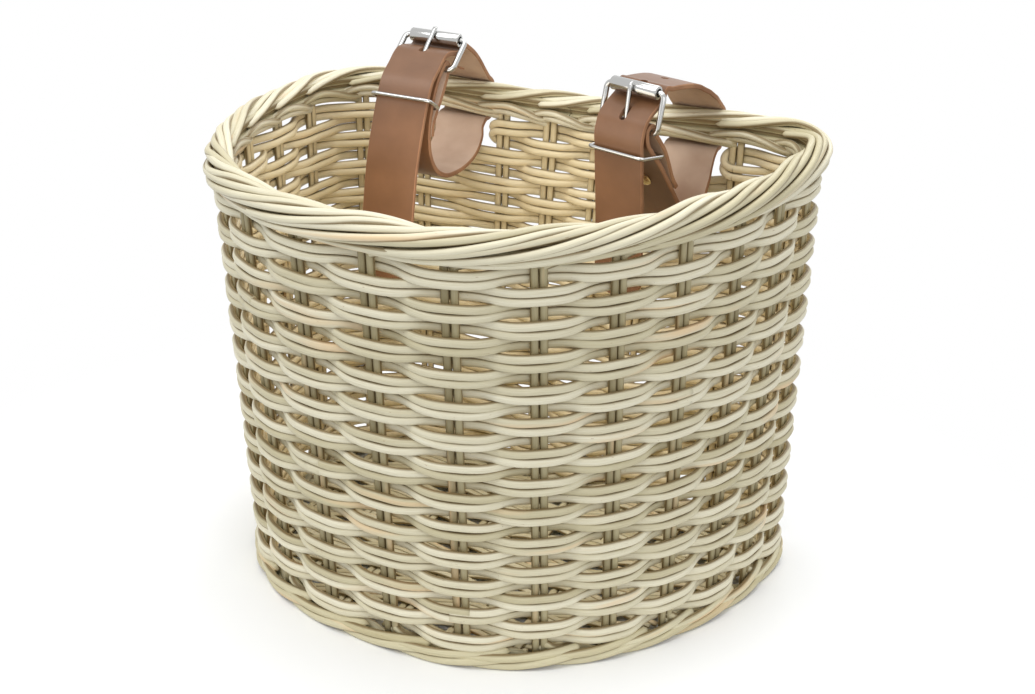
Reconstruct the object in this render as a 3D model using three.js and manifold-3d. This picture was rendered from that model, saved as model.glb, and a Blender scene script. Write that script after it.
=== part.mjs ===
import * as THREE from 'three';
import { mergeVertices } from 'three/addons/utils/BufferGeometryUtils.js';
import Module from 'manifold-3d';

// Hand-woven bicycle basket with a flat back and a round front.
// Pairs of upright canes stand on a foot border, pairs of weaving canes run in front of one
// upright and behind the next, and a rolled border closes the rim. Two leather straps with
// roller buckles are threaded through slots under the rim at the back.
// Millimetres, +Z up. The round front faces -Y and the flat back faces +Y.

const wasm = await Module();
wasm.setup();

// Fit
const clearance = 0.3;

// Main sizes, over the middle surface of the wall at the rim
const basketWidth = 239;
const basketDepth = 192;
const weaveHeight = 175;

// Plan of the wall: the foot is set in from the rim on each side, a little beyond it on the right
const footInset = { left: 11, right: -1.5, front: 22.5, back: 7.5 };
const frontApexX = 12.4;
const leftCornerRadius = 38;
const rightCornerRadius = 19;
const leftFrontRoundness = 2.57;
const rightFrontRoundness = 1.9;

// Heights
const footBorderHeight = 8.1;
const spiralRows = 23;
const slotRows = 2;
const rowClearance = 0.45;
const rimBorderHeight = 15.5;

// Canes
const uprightWidth = 7;
const uprightThickness = 3.4;
const weaverThickness = 3.2;
const weaverLengths = 5;
const pressedBeyondUpright = 1.2;
const turnSpread = 0.25;
const sharpestCrossing = 27;
const crossingShares = [0.36, 0.64];

// Places of the uprights
const frontUprights = 11;
const frontSpacing = 33.4;
const frontCentreOffset = 50.8;
const rightCornerUprights = 1;
const backMiddleUprights = 2;
const leftSideUprights = 5;

// Borders and base
const rimBorderWidth = 13.8;
const rimRidges = 5;
const rimRidgeDepth = 1.6;
const rimRidgeLead = 0.2;
const footBorderWidth = 10.6;
const footBorderOffset = 0.9;
const footRidgeShare = 0.06;
const footRidgeTurns = 2;
const baseRibSpacing = 27;
const baseRowPitch = 6.9;
const baseRibThickness = 2.2;
const baseCaneThickness = 2.1;
const baseGroove = 1;
const baseLift = 1;

// Straps
const strapWidth = 25;
const strapThickness = 2.2;
const leftStrapX = -53.8;
const rightStrapX = 61;
const rightStrapTwist = -16;
const slotDrift = -2.2;
const strapInset = 9;
const holeDiameter = 3.6;
const holeSpacing = 15;
const arcHoles = 3;
const slotBeyondFold = 4;
const tipLength = 9;

// Buckles
const wireDiameter = 3;
const buckleLength = 17;
const buckleSideClearance = 0.8;
const buckleCornerRadius = 2.5;
const rollerDiameter = 6;
const rollerLength = 24;
const prongWidth = 2.6;
const prongThickness = 1.8;
const prongTip = 3.8;
const prongSwing = 14;
const buckleTilt = 6;
const keeperWireDiameter = 2;
const keeperCornerRadius = 2.4;
const rivetHeadDiameter = 7;
const rivetShankDiameter = 3.2;
const rivetHeadHeight = 1.2;
const rivetEdge = 0.35;

const cane = new THREE.MeshStandardMaterial({ color: 0xdccfa4, roughness: 0.6, metalness: 0 });
const paleCane = new THREE.MeshStandardMaterial({ color: 0xe6dbb8, roughness: 0.6, metalness: 0 });
const leather = new THREE.MeshStandardMaterial({ color: 0x86583a, roughness: 0.45, metalness: 0 });
const steel = new THREE.MeshStandardMaterial({ color: 0xc9ccd0, roughness: 0.18, metalness: 1 });
const brass = new THREE.MeshStandardMaterial({ color: 0xb59a5c, roughness: 0.3, metalness: 1 });

const basket = new THREE.Group();

function addPiece(name, geometry, material, parent = basket) {
  const mesh = new THREE.Mesh(geometry, material.clone());
  mesh.name = name;
  parent.add(mesh);
  return mesh;
}

// Closed solids from rings of points. A loop joins its last ring to its first one, where the
// corners of a twisted ring have moved on by loopShift.
function loft(rings, loop = false, loopShift = 0) {
  const sides = rings[0].length;
  const points = rings.flat();
  const index = [];
  const steps = loop ? rings.length : rings.length - 1;
  for (let i = 0; i < steps; i++) {
    const here = i * sides;
    const next = ((i + 1) % rings.length) * sides;
    const shift = i + 1 === rings.length ? loopShift : 0;
    for (let j = 0; j < sides; j++) {
      const k = (j + 1) % sides;
      const nextJ = next + ((j + shift) % sides);
      const nextK = next + ((k + shift) % sides);
      index.push(here + j, here + k, nextK, here + j, nextK, nextJ);
    }
  }
  if (!loop) {
    const last = (rings.length - 1) * sides;
    for (let j = 1; j < sides - 1; j++) {
      index.push(0, j + 1, j, last, last + j, last + j + 1);
    }
  }
  if (signedVolume(points, index) < 0) index.reverse();
  const geometry = new THREE.BufferGeometry().setFromPoints(points);
  geometry.setIndex(index);
  geometry.computeVertexNormals();
  return geometry;
}

function signedVolume(points, index) {
  const cross = new THREE.Vector3();
  let volume = 0;
  for (let i = 0; i < index.length; i += 3) {
    cross.crossVectors(points[index[i + 1]], points[index[i + 2]]);
    volume += points[index[i]].dot(cross) / 6;
  }
  return volume;
}

// A round or flat section carried along a path of stations
function ringAt(centre, across, outward, halfAcross, halfOutward, sides) {
  const ring = [];
  for (let i = 0; i < sides; i++) {
    const angle = (2 * Math.PI * i) / sides;
    ring.push(centre.clone()
      .addScaledVector(across, halfAcross * Math.cos(angle))
      .addScaledVector(outward, halfOutward * Math.sin(angle)));
  }
  return ring;
}

function flatRing(centre, across, outward, halfAcross, halfOutward) {
  const corners = [[-1, -1], [1, -1], [1, 1], [-1, 1]];
  return corners.map(([a, b]) => centre.clone()
    .addScaledVector(across, a * halfAcross)
    .addScaledVector(outward, b * halfOutward));
}

function toSolid(geometry) {
  const bare = geometry.clone();
  bare.deleteAttribute('normal');
  bare.deleteAttribute('uv');
  const merged = mergeVertices(bare, 1e-4);
  return new wasm.Manifold(new wasm.Mesh({
    numProp: 3,
    vertProperties: new Float32Array(merged.attributes.position.array),
    triVerts: new Uint32Array(merged.index.array),
  }));
}

function toGeometry(solid) {
  const mesh = solid.getMesh();
  const geometry = new THREE.BufferGeometry();
  geometry.setAttribute('position', new THREE.BufferAttribute(new Float32Array(mesh.vertProperties), 3));
  geometry.setIndex(new THREE.BufferAttribute(new Uint32Array(mesh.triVerts), 1));
  geometry.computeVertexNormals();
  return geometry;
}

// Plan of the basket: back, right corner, round front, left corner, as points at equal parameters
const rimPlan = { left: basketWidth / 2, right: basketWidth / 2, front: basketDepth, back: 0 };
const footPlan = {
  left: rimPlan.left - footInset.left,
  right: rimPlan.right - footInset.right,
  front: rimPlan.front - footInset.front,
  back: rimPlan.back + footInset.back,
};
const cornerSteps = 12;
const frontSteps = 48;

function planOutline(plan) {
  const points = [];
  const rightRound = rightCornerRadius;
  const leftRound = leftCornerRadius;
  const backY = -plan.back;
  points.push([0, backY]);
  points.push([plan.right - rightRound, backY]);
  for (let i = 1; i < cornerSteps; i++) {
    const angle = (Math.PI / 2) * (i / cornerSteps);
    points.push([plan.right - rightRound + rightRound * Math.sin(angle),
      backY - rightRound + rightRound * Math.cos(angle)]);
  }
  for (let i = 0; i <= frontSteps; i++) {
    const angle = (Math.PI / 2) * (i / frontSteps);
    const share = Math.max(Math.cos(angle), 0) ** (2 / rightFrontRoundness);
    const drop = Math.sin(angle) ** (2 / rightFrontRoundness);
    points.push([frontApexX + (plan.right - frontApexX) * share,
      backY - rightRound - (plan.front + backY - rightRound) * drop]);
  }
  for (let i = frontSteps - 1; i >= 0; i--) {
    const angle = (Math.PI / 2) * (i / frontSteps);
    const share = Math.max(Math.cos(angle), 0) ** (2 / leftFrontRoundness);
    const drop = Math.sin(angle) ** (2 / leftFrontRoundness);
    points.push([frontApexX - (plan.left + frontApexX) * share,
      backY - leftRound - (plan.front + backY - leftRound) * drop]);
  }
  for (let i = 1; i < cornerSteps; i++) {
    const angle = (Math.PI / 2) * (i / cornerSteps);
    points.push([-plan.left + leftRound - leftRound * Math.cos(angle),
      backY - leftRound + leftRound * Math.sin(angle)]);
  }
  points.push([-plan.left + leftRound, backY]);
  return points.map(([x, y]) => new THREE.Vector2(x, y));
}

const rimOutline = planOutline(rimPlan);
const footOutline = planOutline(footPlan);
const outlineCount = rimOutline.length;
const outlineLengths = [0];
for (let i = 0; i < outlineCount; i++) {
  const step = rimOutline[i].distanceTo(rimOutline[(i + 1) % outlineCount]);
  outlineLengths.push(outlineLengths[i] + step);
}
const perimeter = outlineLengths[outlineCount];
const apexDistance = outlineLengths[2 + cornerSteps - 1 + frontSteps];

const rowPitch = weaveHeight / (spiralRows + slotRows);
const wallBottom = footBorderHeight + 2 * clearance;
const wallTop = wallBottom + weaveHeight;
const rimBorderBottom = wallTop + clearance;
const rimTop = rimBorderBottom + rimBorderHeight;

// Point on the wall's middle surface, from the distance round the rim and the height
function planPoint(distance, height) {
  const s = ((distance % perimeter) + perimeter) % perimeter;
  let i = 0;
  while (i < outlineCount - 1 && outlineLengths[i + 1] < s) i++;
  const share = (s - outlineLengths[i]) / (outlineLengths[i + 1] - outlineLengths[i]);
  const next = (i + 1) % outlineCount;
  const rim = rimOutline[i].clone().lerp(rimOutline[next], share);
  const foot = footOutline[i].clone().lerp(footOutline[next], share);
  return foot.lerp(rim, height / wallTop);
}

const headingStep = 1.5;
const leanStep = 20;

// Directions on the leaning wall: along it, up it and out of it
function wallFrame(distance, height) {
  const here = planPoint(distance, height);
  const above = planPoint(distance, height + leanStep).sub(here);
  const heading = planPoint(distance + headingStep, height)
    .sub(planPoint(distance - headingStep, height)).normalize();
  const along = new THREE.Vector3(heading.x, heading.y, 0);
  const level = new THREE.Vector3(-heading.y, heading.x, 0);
  const lean = (above.x * level.x + above.y * level.y) / leanStep;
  const up = new THREE.Vector3(level.x * lean, level.y * lean, 1).normalize();
  const outward = new THREE.Vector3().crossVectors(up, along);
  return { centre: new THREE.Vector3(here.x, here.y, height), along, level, up, outward };
}

// Path point beside the wall: shift is measured along a straight line from the place
function pathPoint(distance, height, offset, shift = 0) {
  const frame = wallFrame(distance, height);
  return {
    point: frame.centre.addScaledVector(frame.along, shift).addScaledVector(frame.outward, offset),
    up: frame.up,
  };
}

function distanceAtBackX(x) {
  return x >= 0 ? x : perimeter + x;
}

// Uprights: evenly spaced in front, one on each side of a strap, the rest shared out between
const wrapReach = uprightWidth / 2 + clearance + weaverThickness * 1.5;
const strapBay = strapWidth + 2 * (wrapReach + clearance);

function spread(from, to, count) {
  const places = [];
  for (let i = 1; i <= count; i++) places.push(from + ((to - from) * i) / (count + 1));
  return places;
}

const rightSlotX = rightStrapX + slotDrift;
const leftSlotX = leftStrapX + slotDrift;
const rightBay = [rightSlotX - strapBay / 2, rightSlotX + strapBay / 2];
const leftBay = [leftSlotX - strapBay / 2, leftSlotX + strapBay / 2];
const frontCentre = apexDistance - frontCentreOffset;
const frontFirst = frontCentre - ((frontUprights - 1) / 2) * frontSpacing;
const frontPlaces = [];
for (let i = 0; i < frontUprights; i++) frontPlaces.push(frontFirst + i * frontSpacing);
const frontLast = frontPlaces[frontUprights - 1];
const leftBayStart = distanceAtBackX(leftBay[1]);
const uprightPlaces = [
  rightBay[1],
  ...spread(rightBay[1], frontFirst, rightCornerUprights),
  ...frontPlaces,
  ...spread(frontLast, distanceAtBackX(leftBay[0]), leftSideUprights),
  distanceAtBackX(leftBay[0]),
  leftBayStart,
  ...spread(leftBayStart, perimeter + rightBay[0], backMiddleUprights),
  perimeter + rightBay[0],
];
const uprightCount = uprightPlaces.length;
const frontEnd = uprightCount - backMiddleUprights - 3;

const uprightSections = 4;
uprightPlaces.forEach((place, i) => {
  const rings = [];
  for (let k = 0; k < uprightSections; k++) {
    const height = wallBottom + ((wallTop - wallBottom) * k) / (uprightSections - 1);
    const frame = wallFrame(place, height);
    rings.push(flatRing(frame.centre, frame.along, frame.level, uprightWidth / 2, uprightThickness / 2));
  }
  addPiece(`upright_pair_${String(i + 1).padStart(2, '0')}`, loft(rings), cane);
});

// Weaving canes
const weaverHeight = rowPitch - rowClearance;
const weaveOffset = uprightThickness / 2 + clearance + weaverThickness / 2;
const bridge = uprightWidth / 2 + pressedBeyondUpright;
const turningLimit = Math.cos(THREE.MathUtils.degToRad(sharpestCrossing));

function rowHeight(row) {
  return wallBottom + rowPitch * (row + 0.5);
}

// Weaving starts at the upright beside the right strap, so the step up hides at the back
function crossing(step) {
  const row = Math.floor(step / uprightCount);
  return { row, place: uprightPlaces[step % uprightCount], side: step % 2 === 0 ? 1 : -1 };
}

function weave(path) {
  const rings = path.map(({ point, up }, i) => {
    const before = path[Math.max(i - 1, 0)].point;
    const after = path[Math.min(i + 1, path.length - 1)].point;
    const outward = new THREE.Vector3().crossVectors(up, after.clone().sub(before)).normalize();
    return flatRing(point, up, outward, weaverHeight / 2, weaverThickness / 2);
  });
  return loft(rings);
}

// Where the wall turns sharply between two uprights, the cane gets extra points to follow it
function crossBetween(path, from, to, fromHeight, toHeight, fromSide, toSide) {
  const turn = wallFrame(from, fromHeight).along.dot(wallFrame(to, toHeight).along);
  if (turn > turningLimit) return;
  for (const share of crossingShares) {
    const height = fromHeight + (toHeight - fromHeight) * share;
    const offset = weaveOffset * (fromSide + (toSide - fromSide) * share);
    path.push(pathPoint(from + (to - from) * share, height, offset));
  }
}

function spiralWeaver(firstStep, lastStep) {
  const path = [];
  for (let step = firstStep; step <= lastStep; step++) {
    const { row, place, side } = crossing(step);
    const height = rowHeight(row);
    const start = step === firstStep ? clearance : -bridge;
    const end = step === lastStep ? -clearance : bridge;
    path.push(pathPoint(place, height, side * weaveOffset, start));
    path.push(pathPoint(place, height, side * weaveOffset, end));
    if (step < lastStep) {
      const next = crossing(step + 1);
      const nextHeight = rowHeight(next.row);
      const nextPlace = next.place < place ? next.place + perimeter : next.place;
      crossBetween(path, place + bridge, nextPlace - bridge, height, nextHeight, side, next.side);
    }
  }
  return path;
}

const lastStep = spiralRows * uprightCount - 1;
let firstStep = 0;
for (let i = 0; i < weaverLengths; i++) {
  let end = Math.round((lastStep * (i + 1)) / weaverLengths);
  if (i < weaverLengths - 1 && end % 2 === 0) end += 1;
  addPiece(`weaver_length_${i + 1}`, weave(spiralWeaver(firstStep, end)), paleCane);
  firstStep = end;
}

// The two rows beside the straps turn back round the uprights and leave a slot for each strap
function turnBack(path, place, direction, fromRow, toRow, fromSide) {
  const fromHeight = rowHeight(fromRow);
  const toHeight = rowHeight(toRow);
  const cornerOut = uprightWidth / 2 + weaverThickness / 2 - clearance;
  const cornerOffset = weaveOffset + turnSpread;
  const reach = wrapReach - weaverThickness / 2;
  path.push(pathPoint(place, fromHeight, fromSide * cornerOffset, direction * cornerOut));
  path.push(pathPoint(place, (fromHeight + toHeight) / 2, 0, direction * reach));
  path.push(pathPoint(place, toHeight, -fromSide * cornerOffset, direction * cornerOut));
}

function runAlong(path, indices, row, startCut, endCut) {
  const height = rowHeight(row);
  indices.forEach((index, k) => {
    const direction = indices.length > 1 && indices[1] < indices[0] ? -1 : 1;
    const side = (row * uprightCount + index) % 2 === 0 ? 1 : -1;
    const place = uprightPlaces[index];
    const first = k === 0;
    const last = k === indices.length - 1;
    if (!first || startCut) {
      const start = first ? clearance : -bridge;
      path.push(pathPoint(place, height, side * weaveOffset, direction * start));
    }
    if (!last || endCut) {
      const end = last ? -clearance : bridge;
      path.push(pathPoint(place, height, side * weaveOffset, direction * end));
    }
    if (!last) {
      const nextPlace = uprightPlaces[indices[k + 1]];
      crossBetween(path, place + direction * bridge, nextPlace - direction * bridge, height, height, side, -side);
    }
  });
}

function sideOf(row, index) {
  return (row * uprightCount + index) % 2 === 0 ? 1 : -1;
}

function turnedWeaver(firstIndex, lastIndex, joinIndex) {
  const lower = spiralRows;
  const upper = spiralRows + 1;
  const up = [];
  for (let i = joinIndex; i <= lastIndex; i++) up.push(i);
  const back = [];
  for (let i = lastIndex; i >= firstIndex; i--) back.push(i);
  const again = [];
  for (let i = firstIndex; i <= joinIndex; i++) again.push(i);
  const path = [];
  runAlong(path, up, lower, true, false);
  turnBack(path, uprightPlaces[lastIndex], 1, lower, upper, sideOf(lower, lastIndex));
  runAlong(path, back, upper, false, false);
  turnBack(path, uprightPlaces[firstIndex], -1, upper, lower, sideOf(upper, firstIndex));
  runAlong(path, again, lower, false, true);
  return path;
}

const frontJoin = sideOf(spiralRows, 2) < 0 ? 2 : 3;
const backJoin = sideOf(spiralRows, frontEnd + 2) < 0 ? frontEnd + 2 : frontEnd + 3;
addPiece('slot_weaver_front', weave(turnedWeaver(0, frontEnd, frontJoin)), paleCane);
addPiece('slot_weaver_back', weave(turnedWeaver(frontEnd + 1, uprightCount - 1, backJoin)), paleCane);

// Borders
const borderStepsPerUpright = 3;

function borderStations(height) {
  const stations = [];
  for (let i = 0; i < uprightCount; i++) {
    const from = uprightPlaces[i];
    const to = i + 1 < uprightCount ? uprightPlaces[i + 1] : uprightPlaces[0] + perimeter;
    for (let k = 0; k < borderStepsPerUpright; k++) {
      const share = k / borderStepsPerUpright;
      stations.push({ index: i + share, frame: wallFrame(from + (to - from) * share, height) });
    }
  }
  return stations;
}

// The uprights' ends are laid over in pairs, which turn round the rim as the ridges of a rope.
// Each pair leaves its upright underneath and has gone round after rimRidges upright spacings.
// Corners of one ridge: place as a share of the way to the next ridge, and depth in the groove.
const ridgeCorners = [[-0.26, 0], [0.26, 0], [0.5, 1]];

function rimBorder() {
  const middle = (rimBorderBottom + rimTop) / 2;
  const ridgeAngle = (2 * Math.PI) / rimRidges;
  const rings = borderStations(middle).map(({ index, frame }) => {
    const ring = [];
    for (let ridge = 0; ridge < rimRidges; ridge++) {
      for (const [place, groove] of ridgeCorners) {
        const angle = ridgeAngle * (ridge + place - index - rimRidgeLead) - Math.PI / 2;
        const inward = groove * rimRidgeDepth;
        ring.push(frame.centre.clone()
          .addScaledVector(frame.level, (rimBorderWidth / 2 - inward) * Math.cos(angle))
          .setZ(middle + (rimBorderHeight / 2 - inward) * Math.sin(angle)));
      }
    }
    return ring;
  });
  const sides = rimRidges * ridgeCorners.length;
  const loopShift = (sides - ((uprightCount * ridgeCorners.length) % sides)) % sides;
  return loft(rings, true, loopShift);
}

// The foot's canes slant round the bottom, and it rests on flat stretches underneath
const footSides = 8;

function footBorder() {
  const halfHeight = footBorderHeight / 2;
  const rings = borderStations(halfHeight).map(({ index, frame }) => {
    const centre = frame.centre.addScaledVector(frame.level, footBorderOffset);
    const ring = [];
    for (let j = 0; j < footSides; j++) {
      const angle = (2 * Math.PI * (j + 0.5)) / footSides;
      const ridge = Math.cos(footRidgeTurns * angle + 2 * Math.PI * index);
      const scale = 1 - footRidgeShare + footRidgeShare * ridge;
      const rise = (halfHeight * Math.sin(angle)) / Math.cos(Math.PI / footSides);
      const resting = rise <= -halfHeight + 1e-6;
      ring.push(centre.clone()
        .addScaledVector(frame.level, (footBorderWidth / 2) * scale * Math.cos(angle))
        .setZ(resting ? 0 : halfHeight + rise * scale));
    }
    return ring;
  });
  return loft(rings, true);
}

addPiece('rolled_rim_border', rimBorder(), paleCane);
addPiece('foot_border', footBorder(), cane);

// Base: pairs of canes run from side to side, over one rib and under the next. Its two faces
// rise over the canes and dip to the ribs, and it is cut to the inside of the foot border.
const baseCrest = baseRibThickness / 2 + baseCaneThickness;
const baseDip = baseRibThickness / 2;
const baseMiddle = baseLift + baseCrest;

function baseWeave() {
  const columns = Math.ceil((footPlan.left + footPlan.right) / baseRibSpacing) + 1;
  const rows = Math.ceil((footPlan.front - footPlan.back) / baseRowPitch) + 1;
  const middleX = (footPlan.right - footPlan.left) / 2;
  const middleY = -(footPlan.front + footPlan.back) / 2;
  const points = [];
  const addFace = (face) => {
    for (let row = 0; row < rows; row++) {
      for (const edge of [-1, 1]) {
        const y = middleY + (row - (rows - 1) / 2) * baseRowPitch + (edge * (baseRowPitch - baseGroove)) / 2;
        for (let column = 0; column < columns; column++) {
          const over = (row + column) % 2 === 0 ? 1 : -1;
          const rise = over === face ? baseCrest : baseDip;
          const x = middleX + (column - (columns - 1) / 2) * baseRibSpacing;
          points.push(new THREE.Vector3(x, y, baseMiddle + face * rise));
        }
      }
    }
  };
  addFace(1);
  addFace(-1);
  const lines = rows * 2;
  const below = lines * columns;
  const index = [];
  const addQuad = (a, b, c, d) => index.push(a, b, c, a, c, d);
  for (let line = 0; line < lines - 1; line++) {
    for (let column = 0; column < columns - 1; column++) {
      const a = line * columns + column;
      addQuad(a, a + 1, a + columns + 1, a + columns);
      addQuad(below + a, below + a + columns, below + a + columns + 1, below + a + 1);
    }
  }
  for (let column = 0; column < columns - 1; column++) {
    const last = (lines - 1) * columns + column;
    addQuad(below + column, below + column + 1, column + 1, column);
    addQuad(last, last + 1, below + last + 1, below + last);
  }
  for (let line = 0; line < lines - 1; line++) {
    const first = line * columns;
    const last = first + columns - 1;
    addQuad(first, first + columns, below + first + columns, below + first);
    addQuad(below + last, below + last + columns, last + columns, last);
  }
  const geometry = new THREE.BufferGeometry().setFromPoints(points);
  geometry.setIndex(index);
  return geometry;
}

function baseOutline() {
  const shape = new THREE.Shape();
  const steps = 60;
  const offset = footBorderOffset - footBorderWidth / 2 - clearance;
  for (let i = 0; i < steps; i++) {
    const frame = wallFrame((perimeter * i) / steps, 0);
    const point = frame.centre.addScaledVector(frame.level, offset);
    if (i === 0) shape.moveTo(point.x, point.y);
    else shape.lineTo(point.x, point.y);
  }
  return new THREE.ExtrudeGeometry(shape, { depth: 3 * baseMiddle, bevelEnabled: false });
}

const base = toSolid(baseWeave()).intersect(toSolid(baseOutline()));
addPiece('woven_base', toGeometry(base), cane);

// Straps
// Each strap is drawn from the side: depth in front of the back wall's inner face, height above
// the top of the weave, and how far it has turned from its slot (0) to its buckle (1), which is
// also how far it has moved over from the slot's middle. It starts at the cut end behind the rivet,
// folds round the buckle's heel bar, runs down and up as a loop, goes out through the slot, over
// the rim, under the roller and hangs as the tail.
const heelRadius = wireDiameter / 2 + clearance + strapThickness / 2;
const strapAtRoller = rollerDiameter / 2 + 4 * clearance + strapThickness / 2;
const overHeel = heelRadius + strapThickness + 2 * clearance;

// Behind the rim border and through the slot, the same for both straps
const borderMiddle = clearance + rimBorderHeight / 2;
const besideBorder = rimBorderWidth / 2 + clearance + strapThickness / 2;
const overBorder = rimBorderHeight / 2 + clearance + strapThickness / 2;
const slotHeight = -strapThickness / 2 - 2 * clearance;

const throughTheSlot = [
  [-2.8, slotHeight - 6.6, 0],
  [-5.4, slotHeight - 2.5, 0],
  [-strapInset, slotHeight, 0],
  [-strapInset - besideBorder * 0.62, slotHeight + 0.6, 0],
  [-strapInset - besideBorder, borderMiddle - 4.5, 0],
  [-strapInset - besideBorder - 0.4, borderMiddle + 1, 0],
  [-strapInset - besideBorder * 0.78, borderMiddle + overBorder * 0.78, 0],
  [-strapInset - 0.5, borderMiddle + overBorder + 0.4, 0],
];

const leftRoute = {
  heel: [39.6, 33.3],
  roller: [26, 43.6],
  cutEnd: [[52, 5.9, 1], [51.4, 11.5, 1], [47.6, 16.9, 1], [43.6, 21.9, 1], [39.9, 27.2, 1]],
  loop: [
    [46, 31.5, 1], [50, 25.8, 1], [52.9, 19.3, 1], [54.8, 12.3, 1], [55.2, 5.3, 1], [53.4, -2.7, 1],
    [47.5, -10.9, 1], [38.5, -15.9, 1], [29.5, -17.5, 1], [18.5, -17.5, 1], [9.5, -15.8, 1],
    [3.6, -13, 0.6],
  ],
  keeper: [[50.2, 18.2], [60.2, 24.2]],
  arc: [[-4.6, 20.5, 0.1], [-1.2, 25, 0.3], [3, 29.1, 0.6], [9, 33.9, 0.9], [15.6, 37.9, 1]],
  tail: [
    [53.2, 30.1, 1], [57.6, 22.3, 1], [61.6, 12.3, 1], [65, 2.3, 1], [67.6, -7.7, 1], [69.5, -19.7, 1],
    [71, -31.7, 1], [71.8, -43.7, 1], [72, -61.7, 1],
  ],
};

const rightRoute = {
  heel: [48.2, 22.3],
  roller: [44.7, 38.9],
  cutEnd: [[26.4, -6.2, 1], [30, -1.5, 1], [33.2, 5.1, 1], [37.4, 12.5, 1], [42, 17.9, 1]],
  loop: [
    [50, 17.6, 1], [45.6, 12.2, 1], [40.2, 6.5, 1], [30.8, -5.5, 1], [21.8, -17.3, 1],
    [13.8, -27.7, 1], [9.6, -32.4, 1], [6, -33, 1], [3.9, -29.9, 1], [3.3, -23.7, 1],
    [2.4, -16, 0.7],
  ],
  keeper: [[40.8, 11.2], [56.7, 13.1]],
  arc: [
    [-4.4, 21.1, 0.2], [3, 27.1, 0.6], [12.6, 33.9, 0.9], [21.4, 38.4, 1], [29.4, 40.6, 1],
    [35.2, 39.9, 1],
  ],
  tail: [
    [54, 18.7, 1], [53.8, 11.8, 1], [52.6, 0.3, 1], [51.2, -11.7, 1], [49.9, -25.7, 1], [49, -39.7, 1],
    [48.6, -53.7, 1],
  ],
};

// Side view of the buckle: along points from the heel bar to the roller, front is the side that
// the tail lies on.
function buckleAxes(route) {
  const along = new THREE.Vector2(route.roller[0] - route.heel[0], route.roller[1] - route.heel[1]).normalize();
  return { along, front: new THREE.Vector2(along.y, -along.x) };
}

function atBuckle(route, alongDistance, frontDistance, twist = 1) {
  const { along, front } = buckleAxes(route);
  return [
    route.heel[0] + along.x * alongDistance + front.x * frontDistance,
    route.heel[1] + along.y * alongDistance + front.y * frontDistance,
    twist,
  ];
}

function strapPoints(route) {
  const fold = [-90, -60, -30, 0, 30, 60, 90].map((degrees) => {
    const angle = THREE.MathUtils.degToRad(degrees);
    return atBuckle(route, heelRadius * Math.cos(angle), heelRadius * Math.sin(angle));
  });
  const threaded = [
    atBuckle(route, buckleLength + 1.8, -strapAtRoller),
    atBuckle(route, buckleLength * 0.82, -strapAtRoller * 0.8),
    atBuckle(route, buckleLength * 0.62, -strapAtRoller * 0.2),
    atBuckle(route, buckleLength * 0.42, overHeel * 0.45),
    atBuckle(route, buckleLength * 0.21, overHeel * 0.88),
    atBuckle(route, 0, overHeel),
    atBuckle(route, -4.5, overHeel * 0.99),
  ];
  return [...route.cutEnd, ...fold, ...route.loop, ...throughTheSlot, ...route.arc, ...threaded, ...route.tail];
}

// Turns a side-view point into a point of the basket
function strapFrame(centreX, twistDegrees) {
  const yaw = THREE.MathUtils.degToRad(twistDegrees);
  const forward = new THREE.Vector3(Math.sin(yaw), -Math.cos(yaw), 0);
  const straight = new THREE.Vector3(0, -1, 0);
  const place = (depth, height, turned = 1) => new THREE.Vector3(
    centreX + slotDrift * (1 - turned), -strapInset, wallTop + height)
    .addScaledVector(depth > 0 ? forward : straight, depth);
  const across = (share) => new THREE.Vector3(Math.cos(yaw * share), Math.sin(yaw * share), 0);
  return { place, across, forward };
}

// Stations are close where the strap bends, and the tail's end is rounded
const curveSamples = 1500;
const longestStep = 6;
const sharpestTurn = Math.cos(THREE.MathUtils.degToRad(16));
const tipSteps = 4;

function strapStationsOf(route, frame) {
  const curve = new THREE.CatmullRomCurve3(
    strapPoints(route).map(([depth, height]) => new THREE.Vector3(depth, height, 0)), false, 'centripetal');
  const twists = new THREE.CatmullRomCurve3(
    strapPoints(route).map(([, , twist], i) => new THREE.Vector3(i, twist, 0)));
  const samples = curve.getPoints(curveSamples);
  const heading = (i) => samples[Math.min(i + 1, curveSamples)].clone().sub(samples[Math.max(i - 1, 0)]).normalize();
  let toEnd = 0;
  const lengthToEnd = new Array(curveSamples + 1).fill(0);
  for (let i = curveSamples - 1; i >= 0; i--) {
    toEnd += samples[i].distanceTo(samples[i + 1]);
    lengthToEnd[i] = toEnd;
  }
  const picked = [0];
  for (let i = 1; i < curveSamples; i++) {
    const last = picked[picked.length - 1];
    const step = lengthToEnd[i] < tipLength ? tipLength / tipSteps : longestStep;
    const far = lengthToEnd[last] - lengthToEnd[i] > step;
    if (far || heading(i).dot(heading(last)) < sharpestTurn) picked.push(i);
  }
  picked.push(curveSamples);
  return picked.map((i) => {
    const turned = THREE.MathUtils.clamp(twists.getPoint(i / curveSamples).y, 0, 1);
    const centre = frame.place(samples[i].x, samples[i].y, turned);
    const before = samples[Math.max(i - 1, 0)];
    const after = samples[Math.min(i + 1, curveSamples)];
    const along = frame.place(after.x, after.y).sub(frame.place(before.x, before.y)).normalize();
    const across = frame.across(turned);
    const outward = new THREE.Vector3().crossVectors(across, along).normalize();
    const inTip = Math.max(1 - lengthToEnd[i] / tipLength, 0);
    const halfWidth = (strapWidth / 2) * Math.sqrt(1 - 0.9 * inTip ** 2);
    return { centre, across, outward, halfWidth };
  });
}

function nearestStation(stations, target, from, to) {
  let best = from;
  for (let i = from; i <= to; i++) {
    if (stations[i].centre.distanceTo(target) < stations[best].centre.distanceTo(target)) best = i;
  }
  return best;
}

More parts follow.
